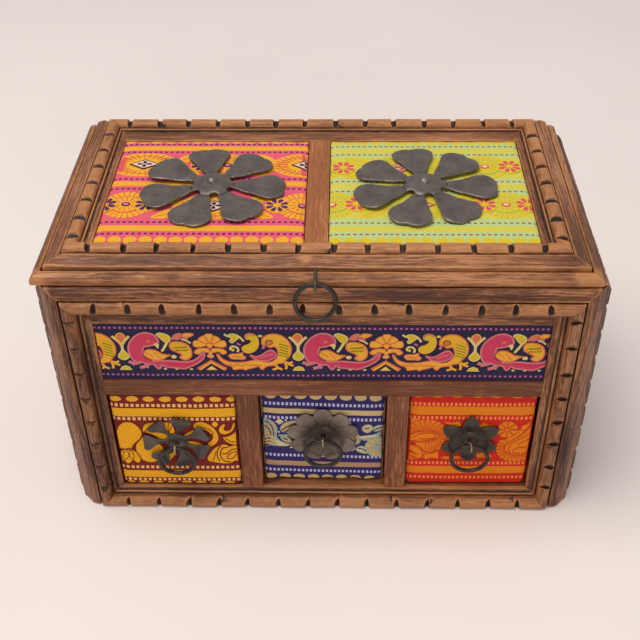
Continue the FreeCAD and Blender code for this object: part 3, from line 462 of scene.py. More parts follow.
def row_places(run, cuts):
    """Rows of points close together over each notch and wider apart between them."""
    marks = [0.0, run]
    for place, _, before, after, _ in cuts:
        marks += [place - before * share for share in (1.1, 1.0, 0.8, 0.45)]
        marks += [place + after * share for share in (0, 0.45, 0.8, 1.0, 1.1)]
    marks.sort()
    rows = []
    for start, end in zip(marks, marks[1:]):
        steps = max(1, math.ceil((end - start) / ROW_STEP))
        rows += [start + (end - start) * step / steps for step in range(steps)]
    return rows + [run]


def swept_bar(corners, rows):
    """The section's face with rounded corners, drawn out and cut into rows one unit apart."""
    bm = bmesh.new()
    verts = [bm.verts.new((0, across, height)) for across, height, _ in corners]
    bm.faces.new(verts)
    for vert, (_, _, soft) in zip(verts, corners):
        if soft:
            bmesh.ops.bevel(bm, geom=[vert], offset=soft, affect="VERTICES", segments=6 if soft > 0.9 else 3,
                            profile=0.5, material=-1)
    for edge in bm.edges[:]:
        cuts = math.ceil(edge.calc_length() / SECTION_STEP) - 1
        if cuts and max(vert.co.z for vert in edge.verts) > 0.5:
            bmesh.ops.subdivide_edges(bm, edges=[edge], cuts=cuts)
    drawn = bmesh.ops.extrude_face_region(bm, geom=bm.faces[:])["geom"]
    far = [item for item in drawn if isinstance(item, bmesh.types.BMVert)]
    bmesh.ops.translate(bm, vec=(rows, 0, 0), verts=far)
    lines = [edge for edge in bm.edges if abs(edge.verts[0].co.x - edge.verts[1].co.x) > 0.5]
    bmesh.ops.subdivide_edges(bm, edges=lines, cuts=rows - 1, use_grid_fill=True)
    return bm


def lean(along, across, width, end):
    """How far a point near an end moves into the bar, so that the end lies along its mitre."""
    step, meet = end
    reach = min(max(across - step, 0.0), min(meet, width - step))
    room = max(MITRE_EASE * reach, MITRE_ROOM)
    return (reach + MITRE_GAP) * max(0.0, 1 - along / room)


def carve(name, corners, run, width, ends, bead, notch, outward, inward, corner, body, replaced, woods,
          trim=None, bare=()):
    """One moulding: swept, mitred, gouged, marked with its crests for wear and its hollows for grime and
    painted shade, and put in its place.
    """
    start, crest_height = bead
    middle = start + BEAD_WIDE / 2
    depth, before, after, steep, fade = NOTCHES[notch]
    cuts = gouges(run, middle, before, after)
    rows = row_places(run, cuts)
    bm = swept_bar(corners, len(rows) - 1)
    crest = bm.verts.layers.float.new("crest")
    seed = dice.uniform(0, 50)
    for vert in bm.verts:
        _, across, height = vert.co
        along = rows[round(vert.co.x)]
        if height > 0.5:
            height += noise.noise((along * 0.045, across * 0.2, seed)) * 0.25
            height += noise.noise((along * 0.22, across * 0.6, seed + 7)) * 0.09
        on_bead = start - 0.1 < across < start + BEAD_WIDE + 0.2
        for place, share, front, back, skew in cuts if on_bead else ():
            off = along - place
            inside = 1 + off / front if off < 0 else 1 - off / back
            if inside > 0:
                deep = depth * share * min(1.0, inside * steep) * (1 - fade * (across - start) / BEAD_WIDE)
                height = min(height, crest_height + 0.1 - deep)
                along += skew * (across - middle)
        if on_bead:
            vert[crest] = min(1.0, max(0.0, (height - crest_height + 1.6) / 1.6)) * 0.9
        along += lean(along, across, width, ends[0]) - lean(run - along, across, width, ends[1])
        vert.co = (along, across, height)
    if trim:
        trim(bm)
    way = inward.cross(outward)
    frame_turn = Matrix((way, inward, outward)).transposed().to_4x4()
    bmesh.ops.transform(bm, matrix=Matrix.Translation(corner) @ frame_turn, verts=bm.verts[:])
    for spot, reach in bare:
        for vert in bm.verts:
            vert[crest] = max(vert[crest], 1.6 * (1 - (vert.co - Vector(spot)).length / reach))
    mark_crests_and_hollows(bm, plank=seed)
    run_axis = "xyz"[max(range(3), key=lambda axis: abs(way[axis]))]
    return finish_piece(name, bm, body, [woods[run_axis]], replaced, sharp=38.0)

# %% Front and side frames
WIDE, DEEP, TALL = 248.0, 136.0, 143.0
STILE, TOP_RAIL, SIDE_RAIL, FOOT = 18.55, 21.5, 19.0, 11.0
CASE_BEAD, FOOT_BEAD = (BEAD_START, BEAD_CREST), (0.0, BEAD_CREST)


FOOT_CLEAR = 0.25  # lets the drawers slide out over the front foot


def carve_front():
    stile_top, stile_foot = (0, TOP_RAIL), (BEAD_START, FOOT)
    stile = case_section(STILE, returned=True)
    carve("front_top_carved", case_section(TOP_RAIL), WIDE, TOP_RAIL, ((0, STILE), (0, STILE)), CASE_BEAD,
          "lens", -Y, -Z, (WIDE / 2, -DEEP / 2, TALL), "case", ["front_top_moulding"], case_wood)
    carve("front_left_carved", stile, TALL, STILE, (stile_top, stile_foot), CASE_BEAD, "tick",
          -Y, X, (-WIDE / 2, -DEEP / 2, TALL), "case", ["front_left_moulding"], stile_wood)
    carve("front_right_carved", stile, TALL, STILE, (stile_foot, stile_top), CASE_BEAD, "tick",
          -Y, -X, (WIDE / 2, -DEEP / 2, 0), "case", ["front_right_moulding"], stile_wood)
    run = WIDE - 2 * BEAD_START
    end = (0, STILE - BEAD_START)
    carve("front_foot_carved", case_section(FOOT - FOOT_CLEAR, banded=False), run, FOOT, (end, end),
          FOOT_BEAD, "block", -Y, Z, (-run / 2, -DEEP / 2, 0), "case", ["front_foot_moulding"], lid_wood)


def carve_side(side, sign):
    outward, wall = X * sign, sign * WIDE / 2
    square, foot_end = (0, SIDE_RAIL), (0, SIDE_RAIL - BEAD_START)
    stile_foot = (BEAD_START, FOOT)
    rails, stiles = [f"{side}_side_rails"], [f"{side}_side_stiles"]
    section, run = case_section(SIDE_RAIL), DEEP - 2 * BEAD_START
    carve(f"{side}_top_rail_carved", section, DEEP, SIDE_RAIL, (square, square), CASE_BEAD, "lens",
          outward, -Z, (wall, sign * DEEP / 2, TALL), "case", rails, case_wood)
    carve(f"{side}_foot_rail_carved", case_section(FOOT, banded=False), run, FOOT, (foot_end, foot_end),
          FOOT_BEAD, "block", outward, Z, (wall, -sign * run / 2, 0), "case", rails, case_wood)
    carve(f"{side}_falling_stile_carved", section, TALL, SIDE_RAIL, (square, stile_foot), CASE_BEAD, "tick",
          outward, Y * sign, (wall, -sign * DEEP / 2, TALL), "case", stiles, stile_wood)
    carve(f"{side}_rising_stile_carved", section, TALL, SIDE_RAIL, (stile_foot, square), CASE_BEAD, "tick",
          outward, -Y * sign, (wall, sign * DEEP / 2, 0), "case", stiles, stile_wood)


carve_front()
carve_side("right", 1)
carve_side("left", -1)

# %% [markdown]
# ## The lid's frame
#
# The lid has its own, flatter section: a rounded nosing, a step, a long slope, then the bead. Its back rail
# has no nosing, and makes room for the two hinges' barrels.

# %% Lid mouldings
LID_LEFT, LID_RIGHT, LID_FRONT, LID_LOW = -129.5, 124.5, -70.5, 143.5
LID_FRONT_RAIL, LID_SIDE_RAIL, LID_BACK_RAIL, BACK_STEP = 21.8, 24.5, 22.6, 8.7
LID_BEAD, BACK_BEAD = (12.7, 12.0), (4.0, 12.0)
HINGE_OUT, HINGE_HALF, BARREL_ROOM = 78.0, 11.4, 2.0
BARREL_IN, BARREL_DROP = 0.2, 0.25
RUBBED_CORNERS = [((LID_LEFT, LID_FRONT, LID_LOW + 3), 11.0), ((LID_RIGHT, LID_FRONT, LID_LOW + 4), 15.0),
                  ((LID_RIGHT - 8, LID_FRONT + 2, LID_LOW + 5), 9.0)]
SCUFF = [((-7.0, LID_FRONT + 10, LID_LOW + 9), 5.0)]


def hinge_room(bm):
    """Lifts the back rail's lower edge clear of the hinge barrels."""
    for vert in bm.verts:
        across_hinge = abs(abs(LID_RIGHT - BACK_STEP - vert.co.x) - HINGE_OUT)
        inner, level = vert.co.y - BARREL_IN, vert.co.z + BARREL_DROP
        reach = math.hypot(inner, level)
        if across_hinge < HINGE_HALF and reach < BARREL_ROOM:
            vert.co.z += math.sqrt(BARREL_ROOM ** 2 - inner ** 2) - level


def carve_lid():
    front_end, side_front = (0, LID_SIDE_RAIL), (0, LID_FRONT_RAIL)
    side_back, back_end = (BACK_STEP, LID_BACK_RAIL), (0, LID_SIDE_RAIL - BACK_STEP)
    wide, deep = LID_RIGHT - LID_LEFT, DEEP / 2 - LID_FRONT
    side = lid_section(LID_SIDE_RAIL)
    carve("lid_front_carved", lid_section(LID_FRONT_RAIL), wide, LID_FRONT_RAIL, (front_end, front_end),
          LID_BEAD, "slot", Z, Y, (LID_LEFT, LID_FRONT, LID_LOW), "lid", ["lid_front_moulding"], lid_wood,
          bare=RUBBED_CORNERS + SCUFF)
    carve("lid_right_carved", side, deep, LID_SIDE_RAIL, (side_front, side_back), LID_BEAD, "scoop",
          Z, -X, (LID_RIGHT, LID_FRONT, LID_LOW), "lid", ["lid_right_moulding"], lid_wood,
          bare=RUBBED_CORNERS)
    carve("lid_left_carved", side, deep, LID_SIDE_RAIL, (side_back, side_front), LID_BEAD, "scoop",
          Z, X, (LID_LEFT, DEEP / 2, LID_LOW), "lid", ["lid_left_moulding"], lid_wood, bare=RUBBED_CORNERS)
    carve("lid_back_carved", lid_section(LID_BACK_RAIL, front=False), wide - 2 * BACK_STEP, LID_BACK_RAIL,
          (back_end, back_end), BACK_BEAD, "slot", Z, -Y, (LID_RIGHT - BACK_STEP, DEEP / 2, LID_LOW), "lid",
          ["lid_back_moulding"], lid_wood, trim=hinge_room)


carve_lid()

# %% [markdown]
# ## Plain boards
#
# The boards keep their solids. A solid's mesh is loose triangles, so a Weld joins them and a small Bevel
# takes the sharpness off the edges, as a pass of sandpaper does.

# %% Boards
BOARD_WOODS = {
    "floor_board": front_wood["x"], "back_board": case_wood["x"], "front_panel": case_wood["x"],
    "shelf_board": front_wood["x"], "lid_board": case_wood["x"], "left_side_board": case_wood["y"],
    "right_side_board": case_wood["y"], "drawer_guides": case_wood["y"], "lid_centre_bar": bar_wood,
    "left_divider": front_wood["z"], "right_divider": front_wood["z"],
}
DRAWER_SIDES = ("left", "middle", "right")
DRAWER_GRAIN = {"bottom": "x", "front": "x", "back": "x", "sides": "y"}


BROKEN_ANGLE, WELD_GAP = 35, 0.002


def dress(name, finish, soften):
    """Gives a solid its finish and breaks its edges."""
    solid = nodes[name]
    solid.data.materials.clear()
    solid.data.materials.append(finish)
    weld = solid.modifiers.new("weld", "WELD")
    weld.merge_threshold = WELD_GAP * MM
    edges = solid.modifiers.new("broken_edges", "BEVEL")
    edges.width = soften * MM
    edges.segments = 2
    edges.limit_method = "ANGLE"
    edges.angle_limit = math.radians(BROKEN_ANGLE)


for name, finish in BOARD_WOODS.items():
    dress(name, finish, 0.4)
for side in DRAWER_SIDES:
    for part, run in DRAWER_GRAIN.items():
        dress(f"{side}_drawer_{part}", inside_wood[run], 0.3)
print("boards:", len(BOARD_WOODS) + len(DRAWER_SIDES) * len(DRAWER_GRAIN))

# %% [markdown]
# ## Blackened iron
#
# The flowers are cut from sheet iron, dished with a hammer and blackened in oil. Their solids have the right
# outline and dish, so a copy of each solid is remeshed finely, smoothed as filing does, and then hammered
# with a soft noise. Rings and pins are drawn wire.

# %% Iron group and materials
RUST_BROWN, RUBBED_IRON, SOOT = srgb(96, 70, 52), srgb(146, 136, 128), srgb(26, 23, 22)


def build_iron_group():
    tree, given, made = node_group(
        "Blackened Skin",
        [("Vector", "Vector"), ("Crest", "Float"), ("Hollow", "Float"), ("Dark Color", "Color"),
         ("Light Color", "Color"), ("Rust Color", "Color"), ("Rust", "Float")],
        [("Color", "Color"), ("Roughness", "Float"), ("Height", "Float")])
    cloud = tree.noise(given["Vector"], 0.11, 4.0, 0.6)
    grit = tree.noise(given["Vector"], 1.7, 4.0, 0.65)
    scale = tree.noise(given["Vector"], 0.45, 3.0, 0.55)
    tone = tree.math("ADD", tree.share(cloud, 0.75), tree.share(grit, 0.3))
    skin = tree.mix(tree.span(tone, 0.34, 0.72), given["Dark Color"], given["Light Color"])
    spots = tree.math("MULTIPLY", tree.span(scale, 0.46, 0.66), given["Rust"])
    rusty = tree.mix(spots, skin, given["Rust Color"])
    edge = tree.math("MULTIPLY", given["Crest"], tree.span(grit, 0.3, 0.6))
    bright = tree.mix(tree.share(edge, 0.2), rusty, RUBBED_IRON)
    tree.feed(made["Color"], tree.mix(tree.share(given["Hollow"], 0.8), bright, SOOT))
    tree.feed(made["Roughness"], tree.span(tree.math("ADD", grit, tree.share(spots, 0.5)),
                                           0.3, 0.9, 0.28, 0.5))
    tree.feed(made["Height"], tree.math("ADD", tree.share(scale, 0.6), tree.share(grit, 0.4)))


def make_iron(name, dark, light, rust, metallic=0.6):
    iron, tree, shader = material(name)
    place = tree.add("ShaderNodeTexCoord").outputs["Object"]
    sized = tree.add("ShaderNodeMapping", {"Vector": place, "Scale": (1 / MM,) * 3}).outputs[0]
    skin = use_group(tree, "Blackened Skin", {
        "Vector": sized, "Crest": tree.attribute("crest"), "Hollow": tree.attribute("hollow"),
        "Dark Color": srgb(*dark), "Light Color": srgb(*light), "Rust Color": RUST_BROWN, "Rust": rust})
    tree.feed(shader["Base Color"], skin["Color"])
    tree.feed(shader["Roughness"], skin["Roughness"])
    tree.feed(shader["Normal"], bump(tree, skin["Height"], 0.12, 0.6))
    shader["Metallic"].default_value = metallic
    return iron


build_iron_group()
lid_iron = make_iron("lid_flower_iron", (90, 82, 79), (132, 122, 117), 0.3)
grey_iron = make_iron("gunmetal_iron", (52, 49, 48), (98, 93, 90), 0.3)
brown_iron = make_iron("browned_iron", (96, 85, 77), (146, 132, 120), 0.4)
black_iron = make_iron("black_iron", (38, 34, 32), (74, 67, 63), 0.25)
ring_iron = make_iron("ring_iron", (24, 20, 18), (46, 40, 36), 0.3, metallic=0.2)
wire_iron = make_iron("drawn_wire", (56, 46, 40), (98, 82, 70), 0.45)
pin_metal = make_iron("brassy_wire", (116, 94, 70), (186, 158, 120), 0.3, metallic=0.9)
hinge_iron = make_iron("hinge_plate", (84, 72, 58), (138, 118, 92), 0.35)

# %% Flowers and rosettes
def sheet_copy(node, voxel):
    """A remeshed copy of a sheet solid, as a bmesh in millimetres."""
    mesh = nodes[node].data.copy()
    bm = bmesh.new()
    bm.from_mesh(mesh)
    bmesh.ops.transform(bm, matrix=Matrix.Scale(1 / MM, 4), verts=bm.verts[:])
    bmesh.ops.remove_doubles(bm, verts=bm.verts[:], dist=0.004)
    bm.to_mesh(mesh)
    helper = bpy.data.objects.new("sheet_copy", mesh)
    scene.collection.objects.link(helper)
    remesh = helper.modifiers.new("remesh", "REMESH")
    remesh.mode = "VOXEL"
    remesh.voxel_size = voxel
    bpy.context.view_layer.update()
    made = bpy.data.meshes.new_from_object(helper.evaluated_get(bpy.context.evaluated_depsgraph_get()))
    bm.clear()
    bm.from_mesh(made)
    bpy.data.objects.remove(helper)
    return bm


HUB_DOME, HUB_EDGE = 3.9, 0.30


def hammer_flower(name, node, body, finish, centre, out, petals, first, voxel, seed, cup=0.0, droop=0.0,
                  groove=0.0, fill=0.0, base=0.0, tip=0.0, square=1.0, nick=0.0, ruffle=0.0, hub_darkening=0.0,
                  waist=0.0):
    """Cuts, files and hammers one sheet flower.

    In the sheet's plane: base and tip widen the petals there, square trims their ends, nick cuts between
    them, and waist draws the hub in between them. Out of it: cup dishes each petal, droop bends its tip,
    groove runs between petals, fill eases the hub's foot, and ruffle folds the sheet round the hub. The
    last setting makes the iron darker towards the hub.
    """
    bm = sheet_copy(node, voxel)
    for _ in range(2):
        bmesh.ops.smooth_vert(bm, verts=bm.verts[:], factor=0.5, use_axis_x=True, use_axis_y=True,
                              use_axis_z=True)
    up = Y if out.z > 0.5 else Z
    reach = max(math.hypot((vert.co - centre).dot(X), (vert.co - centre).dot(up)) for vert in bm.verts)
    sector = math.tau / petals
    hollow = bm.verts.layers.float.new("hollow")
    for vert in bm.verts:
        spoke = vert.co - centre
        angle = (math.atan2(spoke.dot(up), spoke.dot(X)) - math.radians(first)) % math.tau
        radius = math.hypot(spoke.dot(X), spoke.dot(up)) / reach
        petal = round(angle / sector)
        side = 2 * (angle / sector - petal)
        ease = max(0.0, (radius - HUB_EDGE) / (1 - HUB_EDGE))
        spread = base * math.exp(-((radius - 0.42) / 0.13) ** 2) + tip * ease
        side = max(-0.98, min(0.98, side * (1 + spread)))
        between = math.exp(-((1 - abs(side)) / 0.25) ** 2)
        slot = waist * (0.5 - 0.5 * math.cos(math.pi * side)) * min(1.0, max(0.0, (radius - 0.12) / 0.18))
        drawn = radius * (1 - slot * math.exp(-(max(0.0, radius - HUB_EDGE) / 0.2) ** 2))
        dome = HUB_DOME * (min(radius, HUB_EDGE) ** 2 - min(drawn, HUB_EDGE) ** 2) / HUB_EDGE ** 2
        radius = min(drawn * (1 - nick * between * ease), square / math.cos(side * sector / 2))
        angle = math.radians(first) + (petal + side / 2) * sector
        east, north = math.cos(angle) * radius * reach, math.sin(angle) * radius * reach
        lift = cup * side ** 2 * ease * radius - droop * ease ** 3
        lift += fill * math.exp(-((radius - HUB_EDGE) / 0.12) ** 2)
        lift += dome - groove * between * min(1.0, ease * 3) * (1 - 0.5 * ease)
        lift += ruffle * math.cos(side * math.pi) * math.exp(-((radius - 0.36) / 0.12) ** 2)
        lift += noise.noise((petal % petals * 7.3, seed, 1.7)) * 0.04 * reach * ease
        lift += noise.noise((east * 0.13, north * 0.13, seed)) * 0.22
        lift += noise.noise((east * 0.4, north * 0.4, seed)) * 0.05
        level = spoke.dot(out)
        # The iron gets darker towards the hub.
        vert[hollow] = hub_darkening * max(0.0, 1 - 1.3 * ease)
        vert.co = centre + X * east + up * north + out * max(level + lift, 0.02)
    mark_crests_and_hollows(bm, blur=2)
    return finish_piece(name, bm, body, [finish], [node], sharp=80.0)


PAD_TOP = extent("lid_left_pad")[1].z
FLOWER_Y, FLOWER_DRAW_IN = centre_of("lid_left_pad").y, 2.25
FLOWER_X = {"left": centre_of("lid_left_pad").x + FLOWER_DRAW_IN,
            "right": centre_of("lid_right_pad").x - FLOWER_DRAW_IN}
LID_VOXEL, ROSETTE_VOXEL = 0.4, 0.22
WIRE_RADIUS = 1.05
DRAWER_X = {side: centre_of(f"{side}_drawer_facing").x for side in DRAWER_SIDES}
FACE_Y = {side: extent(f"{side}_drawer_facing")[0].y for side in DRAWER_SIDES}
PULL_Z = {side: extent(f"{side}_drawer_ring")[1].z - WIRE_RADIUS for side in DRAWER_SIDES}
ROSETTES = {
    "left": (grey_iron, 7, 77.0, {"cup": 1.0, "droop": -0.9, "fill": 0.5, "tip": 0.3, "square": 0.93}),
    "middle": (brown_iron, 9, 90.0, {"cup": 0.8, "droop": -0.3, "groove": 0.6, "nick": 0.13, "ruffle": 0.2,
                                     "hub_darkening": 1.0}),
    "right": (black_iron, 6, 90.0, {"cup": 0.9, "droop": 0.3, "groove": 0.4, "base": 0.8, "tip": 0.12}),
}
for number, (side, across) in enumerate(FLOWER_X.items()):
    hammer_flower(f"lid_{side}_flower_hammered", f"lid_{side}_flower", "lid", lid_iron,
                  Vector((across, FLOWER_Y, PAD_TOP)), Z, 7, 99.0, LID_VOXEL, 3.0 + number * 9,
                  cup=0.5, droop=0.6, fill=1.6, base=0.3, tip=0.1, square=0.982, waist=0.16)
for number, (side, (finish, petals, first, hand)) in enumerate(ROSETTES.items()):
    hammer_flower(f"{side}_rosette_hammered", f"{side}_drawer_rosette", f"{side}_drawer", finish,
                  Vector((DRAWER_X[side], FACE_Y[side], PULL_Z[side])), -Y, petals, first, ROSETTE_VOXEL,
                  31.0 + number * 5, **hand)
print("hammered flowers:", len(FLOWER_X) + len(ROSETTES))

# %% [markdown]
# ## Rings, pins and nails
#
# A pull ring is a length of wire bent round a bar, so it isn't quite round and its wire isn't quite even.
# The pins are split pins: one wire, folded into an eye, its two legs pushed through the wood and bent over.

# %% Rings
RING_RADIUS = 9.0


def spin_round(bm, steps, join):
    """Spins what is drawn once round Z and joins the seam and poles."""
    bmesh.ops.spin(bm, geom=bm.verts[:] + bm.edges[:], cent=(0, 0, 0), axis=(0, 0, 1), angle=math.tau,
                   steps=steps, use_merge=True, use_duplicate=False)
    bmesh.ops.remove_doubles(bm, verts=bm.verts[:], dist=join)


def forge_ring(name, node, body, centre, leans, seed):
    bm = bmesh.new()
    bmesh.ops.create_circle(bm, segments=14, radius=WIRE_RADIUS,
                            matrix=Matrix.Translation((RING_RADIUS, 0, 0)) @ turn(90, "X"))
    spin_round(bm, 84, 0.01)
    for vert in bm.verts:
        angle = math.atan2(vert.co.y, vert.co.x)
        spoke = Vector((math.cos(angle), math.sin(angle), 0))
        core = spoke * RING_RADIUS
        uneven = 1 + 0.07 * noise.noise((math.cos(angle) * 2.2, math.sin(angle) * 2.2, seed))
        dent = 1 + 0.05 * noise.noise(vert.co * 0.9 + Vector((seed, 0, 0)))
        vert.co = core * (1 + 0.012 * math.cos(2 * angle + seed)) + (vert.co - core) * uneven * dent
    place = Matrix.Translation(centre) @ turn(-leans, "X") @ turn(90, "X")
    bmesh.ops.transform(bm, matrix=place, verts=bm.verts[:])
    return finish_piece(name, bm, body, [ring_iron], [node], sharp=80.0)


EYE_STAND, EYE_RADIUS = 6.4, 2.15
LID_EYE = Vector((-2.5, -74.0, 148.1))
RING_LEAN = 11.5
for number, side in enumerate(DRAWER_SIDES):
    hung = Vector((DRAWER_X[side], FACE_Y[side] - EYE_STAND, PULL_Z[side] - RING_RADIUS))
    forge_ring(f"{side}_ring_forged", f"{side}_drawer_ring", f"{side}_pull", hung, 0.0, 5.0 + number)
hang = Vector((0, math.sin(math.radians(RING_LEAN)), math.cos(math.radians(RING_LEAN))))
forge_ring("lid_ring_forged", "lid_ring", "lid_pull", LID_EYE - hang * RING_RADIUS, RING_LEAN, 11.0)
print("rings:", len(DRAWER_SIDES) + 1)

# %% Split pins and the lid's eye
def bent_wire(name, node, body, points, radius, finish):
    """A wire along a smooth line through its control points, made a mesh."""
    line = bpy.data.curves.new(name, "CURVE")
    line.dimensions = "3D"
    line.bevel_depth = radius
    line.bevel_resolution = 4
    line.use_fill_caps = True
    wire = line.splines.new("NURBS")
    wire.points.add(len(points) - 1)
    for point, place in zip(wire.points, points):
        point.co = (*place, 1.0)
    wire.order_u = 4
    wire.resolution_u = 10
    wire.use_endpoint_u = True
    holder = bpy.data.objects.new(name, line)
    scene.collection.objects.link(holder)
    bpy.context.view_layer.update()
    made = bpy.data.meshes.new_from_object(holder.evaluated_get(bpy.context.evaluated_depsgraph_get()))
    bpy.data.objects.remove(holder)
    bm = bmesh.new()
    bm.from_mesh(made)
    bmesh.ops.remove_doubles(bm, verts=bm.verts[:], dist=0.002)
    mark_crests_and_hollows(bm)
    return finish_piece(name, bm, body, [finish], [node], sharp=60.0)


DRAWER_FRONT, FACING, LEG = 7.0, 2.4, 7.0
STRAND = 0.62
EYE_LOOP = ((-1.5, 0.35), (-0.6, 1.0), (0.45, 1.22), (1.35, 0.6), (1.35, -0.6), (0.45, -1.22), (-0.6, -1.0),
            (-1.5, -0.35))
for side in DRAWER_SIDES:
    across, face = DRAWER_X[side], FACE_Y[side]
    eye, inside = face - EYE_STAND, face + FACING + DRAWER_FRONT + 0.75
    loop = [(0, eye - EYE_RADIUS * out, EYE_RADIUS * up) for out, up in EYE_LOOP]
    leg_out = [(-LEG, inside, 0.4), (-1.4, inside, 0.45), (-0.1, inside - 0.3, 0.5), (0, face + 4, 0.5),
               (0, face - 1, 0.5)]
    leg_back = [(-x, y, -z) for x, y, z in reversed(leg_out)]
    points = [(across + x, y, PULL_Z[side] + z) for x, y, z in leg_out + loop + leg_back]
    bent_wire(f"{side}_pin_bent", f"{side}_drawer_pin", f"{side}_drawer", points, STRAND, pin_metal)
LID_WIRE = [(0, 20.5, 1.9), (0, 8, 1.9), (0, 3.0, 1.95), (0, 0.4, 2.15), (0, -1.9, 1.9), (0, -2.9, 0.2),
            (0, -2.0, -1.9), (0, 0.2, -2.45), (0, 2.0, -1.6), (0, 2.45, 0.1), (0, 2.3, 1.2)]
lid_points = [LID_EYE + Vector(point) for point in LID_WIRE]
bent_wire("lid_eye_bent", "lid_ring_eye", "lid", lid_points, 0.72, wire_iron)
print("wires:", len(DRAWER_SIDES) + 1)

# %% Nails in the lid's flowers
HEAD_PROFILE = [(0.0, 1.9), (1.0, 1.75), (2.0, 1.2), (2.7, 0.3), (2.8, 0.0), (1.0, 0.0), (1.0, -12.0),
                (0.0, -12.6)]
HUB_TOP = extent("lid_left_flower")[1].z


def turned(profile, steps):
    """A round piece spun from (radius, height) points, its pole points merged."""
    bm = bmesh.new()
    verts = [bm.verts.new((radius, 0, height)) for radius, height in profile]
    for first, second in zip(verts, verts[1:]):
        bm.edges.new((first, second))
    spin_round(bm, steps, 0.001)
    return bm


for side, across in FLOWER_X.items():
    bm = turned(HEAD_PROFILE, 28)
    for vert in bm.verts:
        if vert.co.z > 0.05:
            vert.co.z += noise.noise(vert.co * 0.8 + Vector((across, 0, 0))) * 0.22
    mark_crests_and_hollows(bm)
    bmesh.ops.transform(bm, matrix=Matrix.Translation((across, FLOWER_Y, HUB_TOP - 0.1)), verts=bm.verts[:])
    finish_piece(f"lid_{side}_nail_headed", bm, "lid", [lid_iron], ["lid_flower_nails"],
                 sharp=60.0)
print("nails:", len(FLOWER_X))

# %% Hinges
HINGE_PARTS = ("hinge_case_leaves", "hinge_lid_leaves", "hinge_pins", "hinge_case_screws", "hinge_lid_screws")
for name in HINGE_PARTS:
    dress(name, hinge_iron, 0.12)
print("hinge solids:", len(HINGE_PARTS))

# %% [markdown]
# ## Brocade
#
# Six pieces of brocade cover the lid, the front and the drawers. Each is a woven ground with stripes, rows
# of dashes and ovals, and figures of thicker thread float on top. The ground is drawn with node groups from
# a table of rows, in millimetres from the cloth's lower left corner. The figures are thin raised meshes, so
# that they catch the light as real floats do.

# %% Weave and row groups
def build_weave_group():
    tree, given, made = node_group("Woven Threads", [("Vector", "Vector"), ("Pitch", "Float")],
                                   [("Height", "Float"), ("Shade", "Float"), ("Twill", "Float")])
    parts = tree.add("ShaderNodeSeparateXYZ", {0: given["Vector"]}).outputs
    turns = tree.math("DIVIDE", math.tau, given["Pitch"])
    warp = tree.math("SINE", tree.math("MULTIPLY", parts["X"], turns))
    weft = tree.math("SINE", tree.math("MULTIPLY", parts["Y"], turns))
    cells = tree.math("MULTIPLY", warp, weft)
    slope = tree.math("SUBTRACT", parts["X"], tree.math("MULTIPLY", parts["Y"], 0.9))
    twill = tree.math("SINE", tree.math("MULTIPLY", slope, tree.share(turns, 0.33)))
    fuzz = tree.noise(given["Vector"], 0.9, 4.0, 0.7)
    tree.feed(made["Height"], tree.math("ADD", tree.share(cells, 0.5), fuzz))
    tree.feed(made["Shade"], tree.math("ADD", tree.span(cells, -1.0, 1.0, 0.86, 1.04),
                                       tree.span(fuzz, 0.2, 0.8, -0.10, 0.10)))
    tree.feed(made["Twill"], tree.span(twill, -0.2, 0.75))


def repeated_row(name):
    """A group for a row of one shape; also gives how far along its own step each point lies."""
    numbers = ("Row", "Half", "Pitch", "Share", "Phase")
    sockets = [("Vector", "Vector")] + [(number, "Float") for number in numbers]
    tree, given, made = node_group(name, sockets, [("Mask", "Float")])
    parts = tree.add("ShaderNodeSeparateXYZ", {0: given["Vector"]}).outputs
    along = tree.math("ADD", tree.math("DIVIDE", parts["X"], given["Pitch"]), given["Phase"])
    return tree, given, made, parts, tree.math("FRACT", along)


def build_row_groups():
    tree, given, made = node_group("Stripe", [("Vector", "Vector"), ("Row", "Float"), ("Half", "Float")],
                                   [("Mask", "Float")])
    up = tree.add("ShaderNodeSeparateXYZ", {0: given["Vector"]}).outputs["Y"]
    tree.feed(made["Mask"], tree.math("COMPARE", up, given["Row"], given["Half"]))

    tree, given, made, parts, step = repeated_row("Dashes")
    on_row = tree.math("COMPARE", parts["Y"], given["Row"], given["Half"])
    tree.feed(made["Mask"], tree.math("MULTIPLY", on_row, tree.math("LESS_THAN", step, given["Share"])))

    tree, given, made, parts, step = repeated_row("Ovals")
    side = tree.math("DIVIDE", tree.math("SUBTRACT", step, 0.5), tree.share(given["Share"], 0.5))
    rise = tree.math("DIVIDE", tree.math("SUBTRACT", parts["Y"], given["Row"]), given["Half"])
    reach = tree.math("ADD", tree.math("POWER", tree.math("ABSOLUTE", side), 2.0),
                      tree.math("POWER", tree.math("ABSOLUTE", rise), 2.0))
    tree.feed(made["Mask"], tree.math("LESS_THAN", reach, 1.0))


build_weave_group()
build_row_groups()
print("groups:", [group.name for group in bpy.data.node_groups])

# %% Cloth and thread materials
CLOTH_TURNS = {"flat": (0, 0, 0), "upright": (-90, 0, 0)}
WEAVE_PITCH, WANDER = 0.62, 0.9


def cloth_place(tree, lie, origin, lean=0.0):
    """Millimetres from the cloth's lower left corner, a little wavy, as woven lines are."""
    place = tree.add("ShaderNodeTexCoord").outputs["Object"]
    turns = [math.radians(angle) for angle in (*CLOTH_TURNS[lie][:2], -lean)]
    flat = tree.add("ShaderNodeMapping", {"Vector": place, "Scale": (1 / MM,) * 3, "Rotation": turns,
                                          "Location": (-origin[0], -origin[1], 0)}).outputs[0]
    wander = tree.add("ShaderNodeTexNoise", {"Vector": flat, "Scale": 0.09, "Detail": 2.0}).outputs["Color"]
    nudge = tree.plus(wander, (-0.5,) * 3)
    wavy = {0: nudge, 1: (WANDER,) * 3, 2: flat}
    return tree.add("ShaderNodeVectorMath", wavy, operation="MULTIPLY_ADD").outputs[0]


